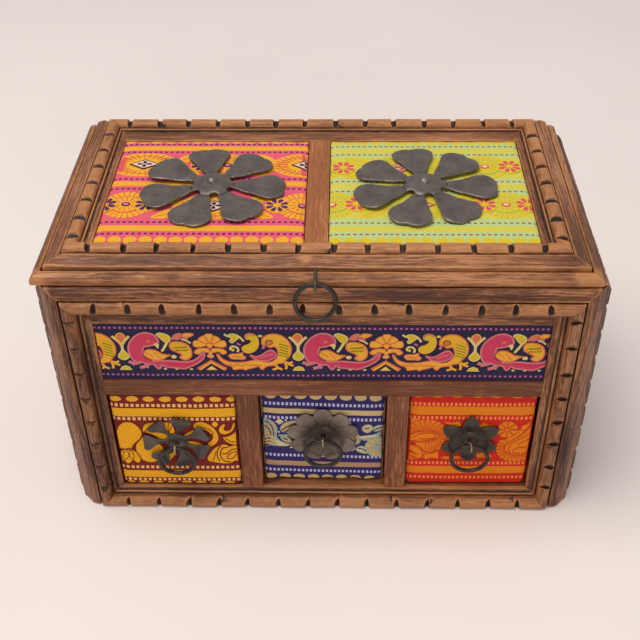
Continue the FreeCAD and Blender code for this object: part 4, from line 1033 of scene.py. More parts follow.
def finish_cloth(tree, shader, colour, weave, sheen):
    shade = tree.add("ShaderNodeCombineColor", dict.fromkeys(range(3), weave["Shade"])).outputs[0]
    tree.feed(shader["Base Color"], tree.mix(1.0, colour, shade, "MULTIPLY"))
    tree.feed(shader["Normal"], bump(tree, weave["Height"], 0.10, 0.6))
    shader["Roughness"].default_value = 0.7
    shader["Specular IOR Level"].default_value = 0.25
    shader["Sheen Weight"].default_value = sheen
    shader["Sheen Roughness"].default_value = 0.4


def make_brocade(name, lie, node, ground, rows, lean=0.0):
    """The ground cloth: rows are (kind, colour, twill, row, half, pitch, share, phase), which may lean."""
    cloth, tree, shader = material(name)
    corner = extent(node)[0]
    place = cloth_place(tree, lie, (corner.x, corner.y if lie == "flat" else corner.z), lean)
    weave = use_group(tree, "Woven Threads", {"Vector": place, "Pitch": WEAVE_PITCH})
    colour = srgb(*ground)
    for kind, thread, twill, *sizes in rows:
        inputs = dict(zip(("Row", "Half", "Pitch", "Share", "Phase"), sizes))
        mask = use_group(tree, kind, {"Vector": place, **inputs})["Mask"]
        thread = srgb(*thread)
        if twill:
            shadow = tuple(c * 0.35 for c in thread[:3]) + (1.0,)
            thread = tree.mix(tree.math("MULTIPLY", weave["Twill"], twill), thread, shadow)
        colour = tree.mix(mask, colour, thread)
    finish_cloth(tree, shader, colour, weave, 0.02)
    return cloth


def make_thread(name, colour, lie, twill=0.25):
    thread, tree, shader = material(name)
    place = cloth_place(tree, lie, (0, 0))
    weave = use_group(tree, "Woven Threads", {"Vector": place, "Pitch": WEAVE_PITCH})
    tone = srgb(*colour)
    shadow = tuple(c * 0.5 for c in tone[:3]) + (1.0,)
    finish_cloth(tree, shader, tree.mix(tree.share(weave["Twill"], twill), tone, shadow), weave, 0.04)
    return thread


def thread_set(start, colours, lie, twill=0.25):
    return {name: make_thread(f"{start}_{name}_thread", colour, lie, twill)
            for name, colour in colours.items()}

# %% [markdown]
# ## Cloth over its boards
#
# The lid's cloths are glued flat over thin boards, and the drawers' cloths are pulled over a little padding,
# so their edges are round and not quite straight. Each is a grid whose rim rolls over. It is then inflated a
# little by Blender's cloth, with its underside held, which gives the soft uneven swell of real padding.

# %% Padded cloths
CLOTH_CELLS = 44
EDGE_GRADE, EDGE_REACH, EDGE_DIP = 0.85, 6, 0.3
SWELL_FRAMES, SWELL_PRESSURE = 12, 1.2
HELD_WITHIN = 0.6


def graded(share):
    """Even steps from -1 to 1, crowded towards both ends."""
    return share * (1 - EDGE_GRADE) + EDGE_GRADE * math.sin(share * math.pi / 2)


def cloth_pad(low, high, thick_axis, out, corner, roll, ragged, seed):
    """A pad in the box of its solid: a rolled-over top, closed below, in millimetres."""
    up_axis = 3 - thick_axis
    wide, tall = high.x - low.x, high[up_axis] - low[up_axis]
    thickness = high[thick_axis] - low[thick_axis]
    bm = bmesh.new()
    bmesh.ops.create_grid(bm, x_segments=CLOTH_CELLS, y_segments=CLOTH_CELLS, size=1.0)
    for vert in bm.verts:
        u, v = graded(vert.co.x) * wide / 2, graded(vert.co.y) * tall / 2
        over_u, over_v = abs(u) - (wide / 2 - corner), abs(v) - (tall / 2 - corner)
        if over_u > 0 and over_v > 0:
            pull = max(over_u, over_v) / math.hypot(over_u, over_v)
            u = math.copysign(wide / 2 - corner + over_u * pull, u)
            v = math.copysign(tall / 2 - corner + over_v * pull, v)
            edge = corner - max(over_u, over_v)
        else:
            edge = min(wide / 2 - abs(u), tall / 2 - abs(v))
        inside = min(1.0, max(0.0, edge) / roll)
        level = thickness - roll * (1 - math.sqrt(1 - (1 - inside) ** 2))
        near = 1 - min(1.0, edge / EDGE_REACH)
        level -= EDGE_DIP * near * (0.5 + noise.noise((u * 0.11, v * 0.11, seed))) if edge > 0.2 else 0.0
        draw_in = ragged * near * (0.5 + noise.noise((u * 0.16, v * 0.16, seed + 3)))
        vert.co = (u - math.copysign(draw_in, u) * (abs(u) * 2 / wide) ** 6,
                   v - math.copysign(draw_in, v) * (abs(v) * 2 / tall) ** 6, level)
    rim = [edge for edge in bm.edges if edge.is_boundary]
    skirt = bmesh.ops.extrude_edge_only(bm, edges=rim)["geom"]
    for vert in (item for item in skirt if isinstance(item, bmesh.types.BMVert)):
        vert.co.z = 0
    bmesh.ops.holes_fill(bm, edges=[edge for edge in bm.edges if edge.is_boundary], sides=0)
    base = (low + high) / 2
    base[thick_axis] = low[thick_axis] if out[thick_axis] > 0 else high[thick_axis]
    lay = Matrix.Identity(4) if thick_axis == 2 else turn(90, "X")
    bmesh.ops.transform(bm, matrix=Matrix.Translation(base) @ lay, verts=bm.verts[:])
    return bm


def swell(pad, held, cap):
    """Inflates a pad with cloth, its held points pinned, and keeps each point within the cap."""
    group = pad.vertex_groups.new(name="held")
    group.add(held, 1.0, "REPLACE")
    rest = [vert.co.copy() for vert in pad.data.vertices]
    cloth = pad.modifiers.new("padding", "CLOTH")
    cloth.settings.quality = 4
    cloth.settings.vertex_group_mass = "held"
    cloth.settings.use_pressure = True
    cloth.settings.uniform_pressure_force = SWELL_PRESSURE
    cloth.settings.mass = 0.05
    cloth.settings.tension_stiffness = 25
    cloth.settings.compression_stiffness = 25
    cloth.settings.bending_stiffness = 0.6
    cloth.settings.effector_weights.gravity = 0
    cloth.point_cache.frame_end = SWELL_FRAMES
    for number in range(1, SWELL_FRAMES + 1):
        scene.frame_set(number)
    shaped = pad.evaluated_get(bpy.context.evaluated_depsgraph_get())
    moved = [vert.co.copy() for vert in shaped.data.vertices]
    pad.modifiers.remove(cloth)
    pad.vertex_groups.remove(group)
    scene.frame_set(1)
    most = 0.0
    for vert, first, last in zip(pad.data.vertices, rest, moved):
        step = last - first
        if step.length > cap * MM:
            step *= cap * MM / step.length
        vert.co = first + step
        most = max(most, step.length)
    pad.data.update()
    return most / MM


def make_pad(name, node, body, finish, thick_axis, out, corner, roll, ragged, seed, cap):
    low, high = extent(node)
    bm = cloth_pad(low, high, thick_axis, out, corner, roll, ragged, seed)
    pad = finish_piece(name, bm, body, [finish], [node], sharp=70.0)
    base = (low if out[thick_axis] > 0 else high)[thick_axis] * MM
    held = [vert.index for vert in pad.data.vertices if abs(vert.co[thick_axis] - base) < HELD_WITHIN * MM]
    moved = swell(pad, held, cap)
    print(f"{name}: {len(pad.data.vertices)} points, swelled {moved:.2f} mm")
    return pad, BVHTree.FromObject(pad, bpy.context.evaluated_depsgraph_get())

# %% Colours of the threads
PINK, PURPLE, GOLD, AMBER = (230, 92, 112), (88, 40, 96), (246, 176, 44), (240, 140, 20)
LIME, MINT, GREEN_GOLD = (224, 208, 82), (186, 206, 134), (228, 198, 44)
ROSE, BRICK = (222, 82, 96), (160, 100, 84)
NAVY, MAUVE, CREAM, INDIGO, TAN = (36, 30, 64), (190, 96, 148), (222, 192, 132), (48, 38, 98), (196, 152, 112)
MAROON, PEACH, RED, ORANGE = (120, 28, 24), (240, 184, 112), (206, 36, 16), (242, 136, 14)
SALMON, LILAC, STRAW = (244, 138, 70), (198, 192, 222), (218, 208, 84)
INDIGO_LEAN = -1.9

# %% Ground cloths
LID_DASH, LID_OVAL = (2.8, 0.57, 0.0), (7.0, 0.88, 0.1)


def dashes(thread, half, spread, *levels):
    return [("Dashes", thread, 0, level, half, *spread) for level in levels]


def stripes(thread, twill, *rows):
    return [("Stripe", thread, twill, level, half) for level, half in rows]


def ovals(thread, twill, half, spread, *levels):
    return [("Ovals", thread, twill, level, half, *spread) for level in levels]


pink_cloth = make_brocade("pink_brocade", "flat", "lid_left_pad", PINK, [
    *ovals(GOLD, 0.2, 2.6, LID_OVAL, 93.2, 2.7), *stripes(GOLD, 0.3, (85.6, 2.1), (50.9, 2.1), (11.9, 2.3)),
    *dashes(PURPLE, 0.75, LID_DASH, 89.7, 81.7, 55.3, 46.2, 17.0, 7.4)])
lime_cloth = make_brocade("lime_brocade", "flat", "lid_right_pad", MINT, [
    *ovals(GREEN_GOLD, 0.2, 2.4, LID_OVAL, 91.4, 2.3),
    *stripes(LIME, 0.3, (83.0, 2.4), (48.4, 2.4), (11.6, 2.2)),
    *stripes(STRAW, 0.25, (66.4, 10.4), (30.6, 10.6)),
    *dashes(BRICK, 0.6, LID_DASH, 87.4, 79.0, 53.0, 44.0, 16.5, 7.0)])
ribbon_cloth = make_brocade("ribbon_brocade", "upright", "front_ribbon", NAVY,
                            dashes(MAUVE, 0.55, (2.4, 0.5, 0.1), 31.9, 2.8))
DRAWER_CLOTHS = {
    "left": make_brocade("maroon_brocade", "upright", "left_drawer_facing", MAROON, [
        *ovals(GOLD, 0.4, 1.6, (8.2, 0.7, 0.1), 61.8), *ovals(GOLD, 0.4, 1.4, (7.5, 0.72, 0.1), 1.2),
        *stripes((252, 180, 20), 0.5, (53.0, 2.8), (8.3, 2.6)),
        *dashes(PEACH, 1.0, (2.6, 0.6, 0.0), 57.8, 48.6, 13.6, 4.0)]),
    "middle": make_brocade("indigo_brocade", "upright", "middle_drawer_facing", INDIGO, [
        *ovals(CREAM, 0.5, 2.2, (7.4, 0.8, 0.1), 60.6, 2.0), *stripes(CREAM, 0.5, (50.2, 1.7)),
        *stripes(TAN, 0.5, (12.6, 1.7)),
        *dashes(LILAC, 0.95, (2.1, 0.57, 0.0), 55.2, 45.6, 18.6, 7.4)], INDIGO_LEAN),
    "right": make_brocade("red_brocade", "upright", "right_drawer_facing", RED, [
        *ovals(AMBER, 0.5, 2.0, (9.6, 0.72, 0.1), 64.0), *stripes(ORANGE, 0.5, (53.6, 2.8), (11.2, 2.6)),
        *dashes(SALMON, 1.0, (2.2, 0.55, 0.0), 57.9, 48.7, 16.2, 5.4)]),
}
print("drawer cloths:", list(DRAWER_CLOTHS))

# %% The pads themselves
LID_SWELL, DRAWER_SWELL = 0.2, 0.4
cloths = {}
for side, slot, finish in (("left", "pink_brocade", pink_cloth), ("right", "lime_brocade", lime_cloth)):
    seed = 3.0 if side == "left" else 8.0
    cloths[f"lid_{side}"] = make_pad(f"lid_{side}_cloth", f"lid_{side}_pad", "lid", finish, 2, Z, 1.0,
                                     0.7, 0.3, seed, LID_SWELL)
DRAWER_EDGES = {"left": ("maroon_brocade", 4.0, 0.4), "middle": ("indigo_brocade", 2.0, 1.6),
                "right": ("red_brocade", 3.0, 0.4)}
for side, (slot, corner, ragged) in DRAWER_EDGES.items():
    cloths[side] = make_pad(f"{side}_facing_cloth", f"{side}_drawer_facing", f"{side}_drawer",
                            DRAWER_CLOTHS[side], 1, -Y, corner, 1.4, ragged, 13.0 + FACE_Y[side],
                            DRAWER_SWELL)

# %% The ribbon
low, high = extent("front_ribbon")
RIBBON_WIDE, RIBBON_TALL = high.x - low.x, high.z - low.z
ribbon_bm = cloth_pad(low, high, 1, -Y, 0.4, 0.3, 0.2, 21.0)
ribbon = finish_piece("front_ribbon_woven", ribbon_bm, "case", [ribbon_cloth],
                      ["front_ribbon"], sharp=60.0)
cloths["ribbon"] = (ribbon, BVHTree.FromObject(ribbon, bpy.context.evaluated_depsgraph_get()))
print(f"ribbon: {RIBBON_WIDE:.1f} by {RIBBON_TALL:.1f} mm")

# %% [markdown]
# ## Figures woven on the cloth
#
# Birds, vases, palmettes and paisleys run along these cloths. On the loom a figure is thread that floats over
# the ground, so it stands a hair above it. Here each figure is a face through a few points, rounded into a
# smooth loop, cut off at the cloth's border, lifted a tenth of a millimetre and laid on the cloth by rays.
# A line, such as a stem or the dark edge of a wing, is a narrow strip drawn the same way.

# %% Drawing with thread
FLOAT_RISE = 0.1
CURVE_STEPS = 4
LEAST_AREA = 0.02


def smooth_line(points, closed):
    """A smooth line through a few points."""
    spots = [Vector(point) for point in points]
    count = len(spots)
    line = []
    for index in range(count if closed else count - 1):
        picks = [index + step for step in (-1, 0, 1, 2)]
        picks = [pick % count if closed else min(max(pick, 0), count - 1) for pick in picks]
        before, start, end, after = (spots[pick] for pick in picks)
        line += geometry.interpolate_bezier(start, start + (end - before) / 6, end - (after - start) / 6, end,
                                            CURVE_STEPS + 1)[:-1]
    return line if closed else line + spots[-1:]


class Threadwork:
    """The figures of one cloth, drawn flat, in millimetres from the cloth's lower left corner."""

    def __init__(self, threads, size, margin=0.5):
        self.bm = bmesh.new()
        self.level = self.bm.faces.layers.float.new("level")
        self.names = list(threads)
        self.threads = list(threads.values())
        self.limits = [(margin, reach - margin) for reach in size]
        self.origin = Vector((0, 0))
        self.turned = Matrix.Identity(2)
        self.drawn = 0

    def face(self, thread, layer, spots):
        """One face, its corners kept inside the border; what lies outside shrinks away."""
        kept = []
        for spot in spots:
            moved = self.origin + self.turned @ Vector(spot)
            moved = Vector([min(max(part, start), end) for part, (start, end) in zip(moved, self.limits)])
            if not kept or (moved - kept[-1]).length > 0.01:
                kept.append(moved)
        if len(kept) > 1 and (kept[0] - kept[-1]).length < 0.01:
            kept.pop()
        area = sum(a.x * b.y - b.x * a.y for a, b in zip(kept, kept[1:] + kept[:1])) / 2
        if len(kept) < 3 or abs(area) < LEAST_AREA:
            return
        made = self.bm.faces.new([self.bm.verts.new((*spot, 0)) for spot in kept])
        made.material_index = self.names.index(thread)
        made[self.level] = layer + 0.3 * (self.drawn % 7) / 7

    def fill(self, thread, points, layer=1, smooth=True, rim=None, rim_width=0.5):
        self.drawn += 1
        self.face(thread, layer, smooth_line(points, True) if smooth else points)
        if rim:
            self.stroke(rim, points, rim_width, layer + 1, closed=True, smooth=smooth)

    def stroke(self, thread, points, width, layer=2, closed=False, smooth=True):
        self.drawn += 1
        line = smooth_line(points, closed) if smooth else [Vector(point) for point in points]
        sides = []
        for index, spot in enumerate(line):
            ahead = line[(index + 1) % len(line)] if closed else line[min(index + 1, len(line) - 1)]
            behind = line[index - 1] if closed else line[max(index - 1, 0)]
            way = (ahead - behind).normalized()
            off = Vector((-way.y, way.x)) * width / 2
            sides.append((spot + off, spot - off))
        for (a, b), (c, d) in zip(sides, sides[1:] + (sides[:1] if closed else [])):
            self.face(thread, layer, (a, b, d, c))

    def oval(self, thread, centre, across, up, layer=1, rim=None, rim_width=0.45):
        angles = [math.tau * step / 8 for step in range(8)]
        points = [(centre[0] + across * math.cos(a), centre[1] + up * math.sin(a)) for a in angles]
        self.fill(thread, points, layer, rim=rim, rim_width=rim_width)

    def petals(self, thread, centre, count, inner, outer, breadth, first=90.0, sweep=360.0, squash=1.0,
               layer=1, rim=None):
        """Petals set round a centre; squash flattens the whole flower."""
        steps = count if sweep == 360.0 else count - 1
        half = (inner + outer) / 2
        shoulder = outer * 0.93
        shape = ((inner, 0), (half, 0.42), (shoulder, 0.40), (outer, 0), (shoulder, -0.40), (half, -0.42))
        for index in range(count):
            angle = math.radians(first + sweep * index / steps)
            long_way = Vector((math.cos(angle), math.sin(angle)))
            spots = [long_way * reach + long_way.orthogonal() * breadth * side for reach, side in shape]
            spots = [(centre[0] + spot.x, centre[1] + spot.y * squash) for spot in spots]
            self.fill(thread, spots, layer, rim=rim, rim_width=0.35)

    def lay(self, name, cloth, lie, low, body, slot, cell=4.0):
        """Gives the figures thickness, cuts them into cells that follow the swell, and lays them down."""
        bm = self.bm
        for face in bm.faces[:]:
            level = face[self.level]
            for item in bmesh.ops.extrude_face_region(bm, geom=[face])["geom"]:
                if isinstance(item, bmesh.types.BMVert):
                    item.co.z = level * FLOAT_RISE
        for axis, (start, end) in enumerate(self.limits):
            for cut in range(1, math.ceil((end - start) / cell)):
                spot, normal = Vector((0, 0, 0)), Vector((0, 0, 0))
                spot[axis], normal[axis] = start + cut * cell, 1
                bmesh.ops.bisect_plane(bm, geom=bm.verts[:] + bm.edges[:] + bm.faces[:], plane_co=spot,
                                       plane_no=normal)
        out, up = (Z, Y) if lie == "flat" else (-Y, Z)
        tree = cloth[1]
        for vert in bm.verts:
            spot = low + X * vert.co.x + up * vert.co.y
            hit = tree.ray_cast((spot + out * 20) * MM, -out)[0] or tree.find_nearest(spot * MM)[0]
            vert.co = hit / MM + out * (vert.co.z if vert.co.z > 0 else -0.08)
        figures = finish_piece(name, bm, body, self.threads, sharp=30.0)
        print(f"{name}: {len(figures.data.polygons)} faces in {len(self.names)} threads")
        return figures

# %% [markdown]
# ## The ribbon's birds
#
# One length of the pattern holds a vase, a pink bird looking right, leaves and a striped paisley, a palmette
# on a chevron, and a gold bird looking left. The loom repeats it every 82 mm, so one function draws a length
# and a loop repeats it, starting before the ribbon's left end, where the pattern is cut.

# %% One length of the ribbon
FRIEZE_LOW, RIBBON_REPEAT, FIRST_VASE = 6.2, 82.4, 11.95
PINK_BIRD = [(4.8, 5.6), (3.2, 9), (2.8, 13), (3.6, 16.4), (5.6, 19.6), (8.4, 22), (11.5, 23), (14.5, 22.4),
             (16.6, 20.4), (17.4, 17.6), (16.4, 16.6), (14.4, 15.6), (12.4, 14.9), (10.3, 14.5), (9.5, 12.6),
             (9.3, 10.4), (10, 8.8), (11.6, 7), (14, 5.6), (18, 5.8), (22, 5.8), (27, 5.2), (31, 5.4),
             (34, 6.8), (36.6, 9.6), (38, 11.4), (38.2, 9.4), (37, 6.6), (34, 4), (30.5, 2), (28, 0.9),
             (24, 1.4), (19.4, 2), (17.6, 3.2), (16.6, 1.2), (15.4, 1), (13.6, 3.6), (11.4, 3.6), (8, 5)]
PINK_BIRD_WING = [(9.8, 10.6), (10.8, 12.3), (13, 12.9), (15.4, 12.3), (17.2, 11), (19, 9.9), (22.2, 9.5),
                  (20.5, 8.5), (18.6, 7), (16, 6.3), (13.4, 6.7), (11.4, 7.8), (10.1, 9.1)]
GOLD_BIRD = [(66, 16), (65.6, 18.4), (66.6, 20.6), (69, 22.2), (72, 22.5), (75, 21.4), (77.6, 18.8),
             (79, 15.4), (79.1, 12), (78.2, 9), (76.4, 6.6), (75.4, 5), (73, 4.4), (70.6, 3.2), (68.6, 3),
             (66.8, 2.4), (65.4, 0.6), (64.2, 1.4), (63.4, 2.6), (61, 1.7), (58.4, 0.9), (57, 0.2), (55.6, 1),
             (51.6, 0.5), (50.6, 2.4), (47.6, 3.9), (45.4, 6.4), (44.2, 9.4), (44.8, 10), (46.2, 7.6),
             (48.4, 5.8), (52, 4.9), (57, 5.2), (61, 6.2), (63.6, 6.6), (67, 5.2), (70, 5.6), (72, 7.6),
             (73, 10.4), (72.6, 13.4), (71.4, 15), (69.6, 14.4), (68.4, 15), (67.6, 16)]
GOLD_BIRD_WING = [(59.8, 9.6), (61.8, 7.5), (64.6, 6.4), (68, 6.4), (71, 8.1), (72, 10.2), (71, 12.1),
                  (69.4, 12.7), (67.4, 11.7), (65.4, 9.8), (62.6, 8.7)]
STRIPED_NECK = [(73.6, 8), (73.4, 12), (73.2, 15.6), (75, 18.4), (77.6, 16), (78.3, 12.4), (77.4, 9),
                (75.6, 7)]
PALMETTE_SCROLL = [(0.7, 13.2), (3.6, 13.7), (6.6, 12.7), (7.5, 10.8), (5.6, 10), (3.8, 11.6), (0.8, 11)]


def draw_vase(work):
    work.fill("orange", [(-2.2, 21), (0, 22.8), (2, 21), (1.2, 17.5), (0, 15.6), (-1.2, 17.5)], rim="gold")
    for side in (-1, 1):
        work.stroke("cream", [(0, 15.2), (side * 1.6, 18), (side * 4, 20.8)], 1.3)
    work.stroke("cream", [(0, 16), (0, 13.6), (0, 11.5)], 1.3)
    work.fill("lime", [(0, 12.6), (1.3, 10.8), (2.5, 9), (2, 7.4), (0, 6.3), (-2, 7.4), (-2.4, 9),
                       (-1.2, 10.8)], rim="cream", rim_width=0.6)
    work.fill("lime", [(-2.8, 0.1), (3, 0.1), (2, 1.5), (0.1, 2.5), (-1.8, 1.5)], rim="cream", smooth=False)


def draw_pink_bird(work):
    for leg in ([(8.6, 5.4), (5, 3.9), (1.9, 5.1)], [(4.6, 4), (3.4, 3.2)],
                [(11, 4.6), (9.4, 2.2), (6.9, 1.2)], [(9.6, 2.4), (11.2, 1.6)]):
        work.stroke("rose", leg, 1.8, layer=1)
    work.fill("pink", PINK_BIRD, layer=2, rim="rose", rim_width=0.9)
    work.stroke("navy", [(9.9, 11.6), (9.4, 9.6), (10.6, 7.6), (13, 6.1)], 0.5, layer=4)
    work.fill("gold", PINK_BIRD_WING, layer=4, rim="orange", rim_width=0.55)
    for spot in ((11.4, 10.6), (13.4, 9.2), (15.2, 10.2), (16.6, 8.4)):
        feather = [(spot[0] - 0.6, spot[1] + 0.9), spot, (spot[0] + 0.8, spot[1] - 0.9)]
        work.stroke("orange", feather, 0.5, layer=5)
    work.oval("orange", (12.8, 18.1), 1.0, 0.8, layer=4)
    work.fill("cream", [(14.9, 16), (16.4, 16.9), (17.5, 16), (17.2, 14.4), (16.6, 13.4), (16, 14.8)],
              layer=4)
    work.stroke("pink", [(20, 4.4), (25, 3.4), (30, 3.6), (35, 6)], 0.5, layer=4)
    for spot in ((18.9, 0.5), (24.4, 0.5), (31.3, 0.4)):
        work.oval("cream", spot, 0.8, 0.5)


def draw_leaves(work):
    work.fill("lime", [(16.9, 22), (18.6, 22.8), (21, 22.1), (22.8, 20.6), (22.9, 18.7), (22, 17.4),
                       (20.7, 17.3), (19.4, 18.6), (18, 20.6)], rim="cream", rim_width=0.6)
    work.stroke("cream", [(21.4, 17.2), (20, 14.4), (18.4, 11.6)], 1.2)
    work.fill("orange", [(23.7, 19.2), (25, 21.5), (27.5, 22.7), (29, 21.6), (27.4, 20.2), (25.2, 19.2)],
              rim="rose")
    work.fill("gold", [(28.4, 21), (30.4, 22.8), (34.2, 22.3), (32.6, 20.8), (30.4, 20.2)], rim="orange")
    work.stroke("rose", [(25.6, 18.9), (28, 19.6), (31.4, 19.4)], 0.8)
    work.stroke("cream", [(28.4, 19), (30.5, 18.3), (32.3, 16.7)], 0.9)
    work.fill("gold", [(22.4, 14.6), (22.9, 16.8), (25.2, 17.6), (28.4, 17.1), (31, 15.3), (32.3, 12),
                       (31.9, 8.6), (30, 6.6), (28.2, 6.5), (26.6, 7.9), (27.7, 9.6), (25, 11.4), (23, 12.8)],
              rim="orange", rim_width=0.7)
    work.fill("lime", [(24, 14.6), (25.4, 16.2), (28.6, 15.4), (30.6, 12.4), (30.2, 10.6), (27.4, 11.6)],
              layer=3)
    for start in (25.0, 26.5, 28.0, 29.4):
        work.stroke("bronze", [(start - 1, 13.7), (start + 1, 14.7)], 0.45, layer=4, smooth=False)
        work.stroke("bronze", [(start - 0.2, 12), (start + 1.4, 12.8)], 0.45, layer=4, smooth=False)
    work.oval("cream", (23.7, 8.2), 1.3, 1.1)


def draw_palmette(work):
    for angle, reach in ((90, 7.0), (50, 6.4), (130, 6.4), (8, 7.8), (172, 7.8)):
        work.petals("gold", (41.2, 15.5), 1, 1.5, reach, 4.4, first=angle, rim="orange")
    work.fill("gold", [(39.6, 16), (41.2, 16.9), (42.8, 16), (41.2, 13.9)], layer=3, rim="orange")
    for side in (-1, 1):
        work.fill("gold", [(41.2 + side * x, y) for x, y in PALMETTE_SCROLL], rim="orange")
    work.stroke("gold", [(41.2, 12), (41.1, 9.4)], 1.5)
    work.oval("gold", (41.1, 8.8), 1.5, 1.1, rim="rose")
    work.stroke("orange", [(34.8, 0.4), (41.1, 5.4), (47.8, 0.4)], 2.2, smooth=False)
    work.stroke("gold", [(35.6, 0.5), (41.1, 4.9), (47, 0.5)], 1.0, layer=3, smooth=False)
    work.fill("cream", [(38.6, 0.2), (41.1, 2.4), (43.6, 0.2)], rim="gold", smooth=False)


def draw_middle_leaves(work):
    work.fill("lime", [(50.6, 22.1), (53.4, 22.3), (55, 20.4), (53.6, 18.7), (51.8, 17.1), (50.7, 18.1),
                       (51.6, 19.7), (50.6, 20.8)], rim="cream")
    work.stroke("cream", [(48.4, 22.4), (49.4, 21.4), (51.4, 20.7)], 1.0)
    work.stroke("cream", [(54, 21.7), (55.6, 20.4), (57.2, 18)], 1.0)
    work.stroke("cream", [(51.6, 12.6), (50.6, 13.4), (51.6, 14.8), (53.4, 14.5), (54.4, 13), (53.9, 11.4)],
                1.0)
    work.oval("lime", (51.8, 12.8), 0.9, 0.8, layer=3)
    work.fill("gold", [(49.7, 9.3), (51.4, 10.2), (54, 10.2), (56.4, 11), (56.2, 9.5), (57.6, 8),
                       (56.4, 6.8), (54.4, 7), (51.4, 7), (50.2, 8)], rim="orange")
    work.stroke("orange", [(51, 8.6), (53.4, 8.6), (56, 8)], 0.5, layer=3)
    work.fill("lime", [(58.3, 21.8), (60.6, 22.7), (62.9, 21.4), (63.9, 18.4), (63.6, 15), (62, 12.3),
                       (59.4, 11), (57.1, 11.8), (56.3, 13.8), (57.4, 15.1), (59.6, 16.1), (61, 17.8),
                       (60.4, 19.2), (58.4, 19.6)], rim="gold", rim_width=0.7)
    work.stroke("rose", [(58.4, 19.6), (58.4, 21.6), (60.6, 22.5), (62.6, 21.4)], 0.7, layer=4)
    work.stroke("mauve", [(54, 16.9), (55.6, 15.7)], 0.9)
    work.oval("cream", (65, 21.2), 1.0, 0.7)


def draw_gold_bird(work):
    for leg in ([(71, 3.6), (72.4, 1.5), (70, 0.3)], [(72.4, 1.6), (74.6, 0.4)],
                [(76, 5.4), (77.8, 4.5), (79.7, 5.3)], [(76, 5), (76.6, 2.4), (76.2, 0.7)],
                [(77.4, 4), (80, 2.8)]):
        work.stroke("gold", leg, 1.2, layer=1)
    work.fill("gold", GOLD_BIRD, layer=2, rim="orange", rim_width=0.6)
    work.oval("bronze", (69, 17.5), 2.0, 1.7, layer=4)
    work.oval("orange", (69.1, 17.5), 1.1, 0.9, layer=5)
    work.fill("lime", STRIPED_NECK, layer=4)
    for level in (16.6, 14.9, 13.2, 11.5, 9.8):
        work.stroke("bronze", [(73.6, level), (75.6, level - 0.5), (77.8, level - 1.6)], 0.5, layer=5)
    work.fill("pink", GOLD_BIRD_WING, layer=4, rim="rose", rim_width=0.7)
    work.stroke("rose", [(65, 8), (68, 9.8), (70.6, 10.4)], 0.6, layer=6)
    work.stroke("mauve", [(66.7, 15.5), (65.9, 13.5)], 1.2)
    for start in (49, 53, 57, 61):
        work.stroke("orange", [(start, 3.9), (start + 2.6, 3), (start + 4, 3.6)], 0.45, layer=4)


def make_ribbon_figures():
    colours = {"pink": (210, 60, 94), "rose": (212, 122, 124), "gold": (244, 176, 52),
               "orange": (226, 122, 76), "lime": (222, 188, 34), "cream": (228, 206, 132),
               "bronze": (160, 108, 18), "mauve": (206, 110, 148), "navy": NAVY}
    threads = thread_set("ribbon", colours, "upright", 0.15)
    work = Threadwork(threads, (RIBBON_WIDE, RIBBON_TALL))
    for number in range(-1, 3):
        work.origin = Vector((FIRST_VASE + number * RIBBON_REPEAT, FRIEZE_LOW))
        for draw in (draw_vase, draw_pink_bird, draw_leaves, draw_palmette, draw_middle_leaves,
                     draw_gold_bird):
            draw(work)
    return work.lay("front_ribbon_figures", cloths["ribbon"], "upright", extent("front_ribbon")[0], "case",
                    "ribbon_brocade", cell=RIBBON_WIDE)


ribbon_figures = make_ribbon_figures()

# %% [markdown]
# ## The lid's flowers in thread
#
# Both lid cloths were cut from one design in two colourings: big scalloped flowers with a small oval heart
# and a little flower on each side, and between them, half a repeat along, a lozenge in a spray of leaves.

# %% The lid's two cloths
def about(centre, points, side=1):
    """Points set round a centre, mirrored where side is -1."""
    return [(centre[0] + side * x, centre[1] + y) for x, y in points]


def draw_scalloped_flower(work, centre, floret_out):
    """A wide flower of many petals, its heart, and a floret on each side."""
    work.petals("gold", centre, 24, 3.0, 12.2, 3.4, squash=0.94, first=80)
    for index in range(24):
        angle = math.radians(87.5 + 15 * index)
        way = Vector((math.cos(angle), math.sin(angle) * 0.94))
        work.stroke("line", [Vector(centre) + way * 7.2, Vector(centre) + way * 11.7], 0.4, smooth=False)
    work.oval("gold", centre, 7.4, 6.8, layer=3, rim="line", rim_width=0.4)
    for index in range(12):
        angle = math.radians(30 * index)
        way = Vector((math.cos(angle), math.sin(angle)))
        work.stroke("line", [Vector(centre) + way * 3.2, Vector(centre) + way * 5.8], 0.35, layer=5,
                    smooth=False)
    work.oval("floret", centre, 2.2, 1.9, layer=5)
    work.oval("heart", centre, 1.4, 1.1, layer=6)
    for side in (-1, 1):
        spot = (centre[0] + side * floret_out, centre[1])
        work.oval("gold", spot, 5.9, 6.4, layer=5)
        work.petals("floret", spot, 8, 1.7, 5.5, 2.4, first=22.5, layer=6)
        work.oval("gold", spot, 1.5, 1.4, layer=7)


EYE_HALF = [(20, 0), (14, 6.8), (7.5, 10.4), (0, 11.2)]
SPRAY_LEAF = [(16.5, 4.6), (19, 8.6), (24, 10.6), (29, 9.4), (25.5, 5.2), (21, 2.2)]
SPRAY_VEIN = [(19, 4.6), (22.5, 7), (27, 9)]


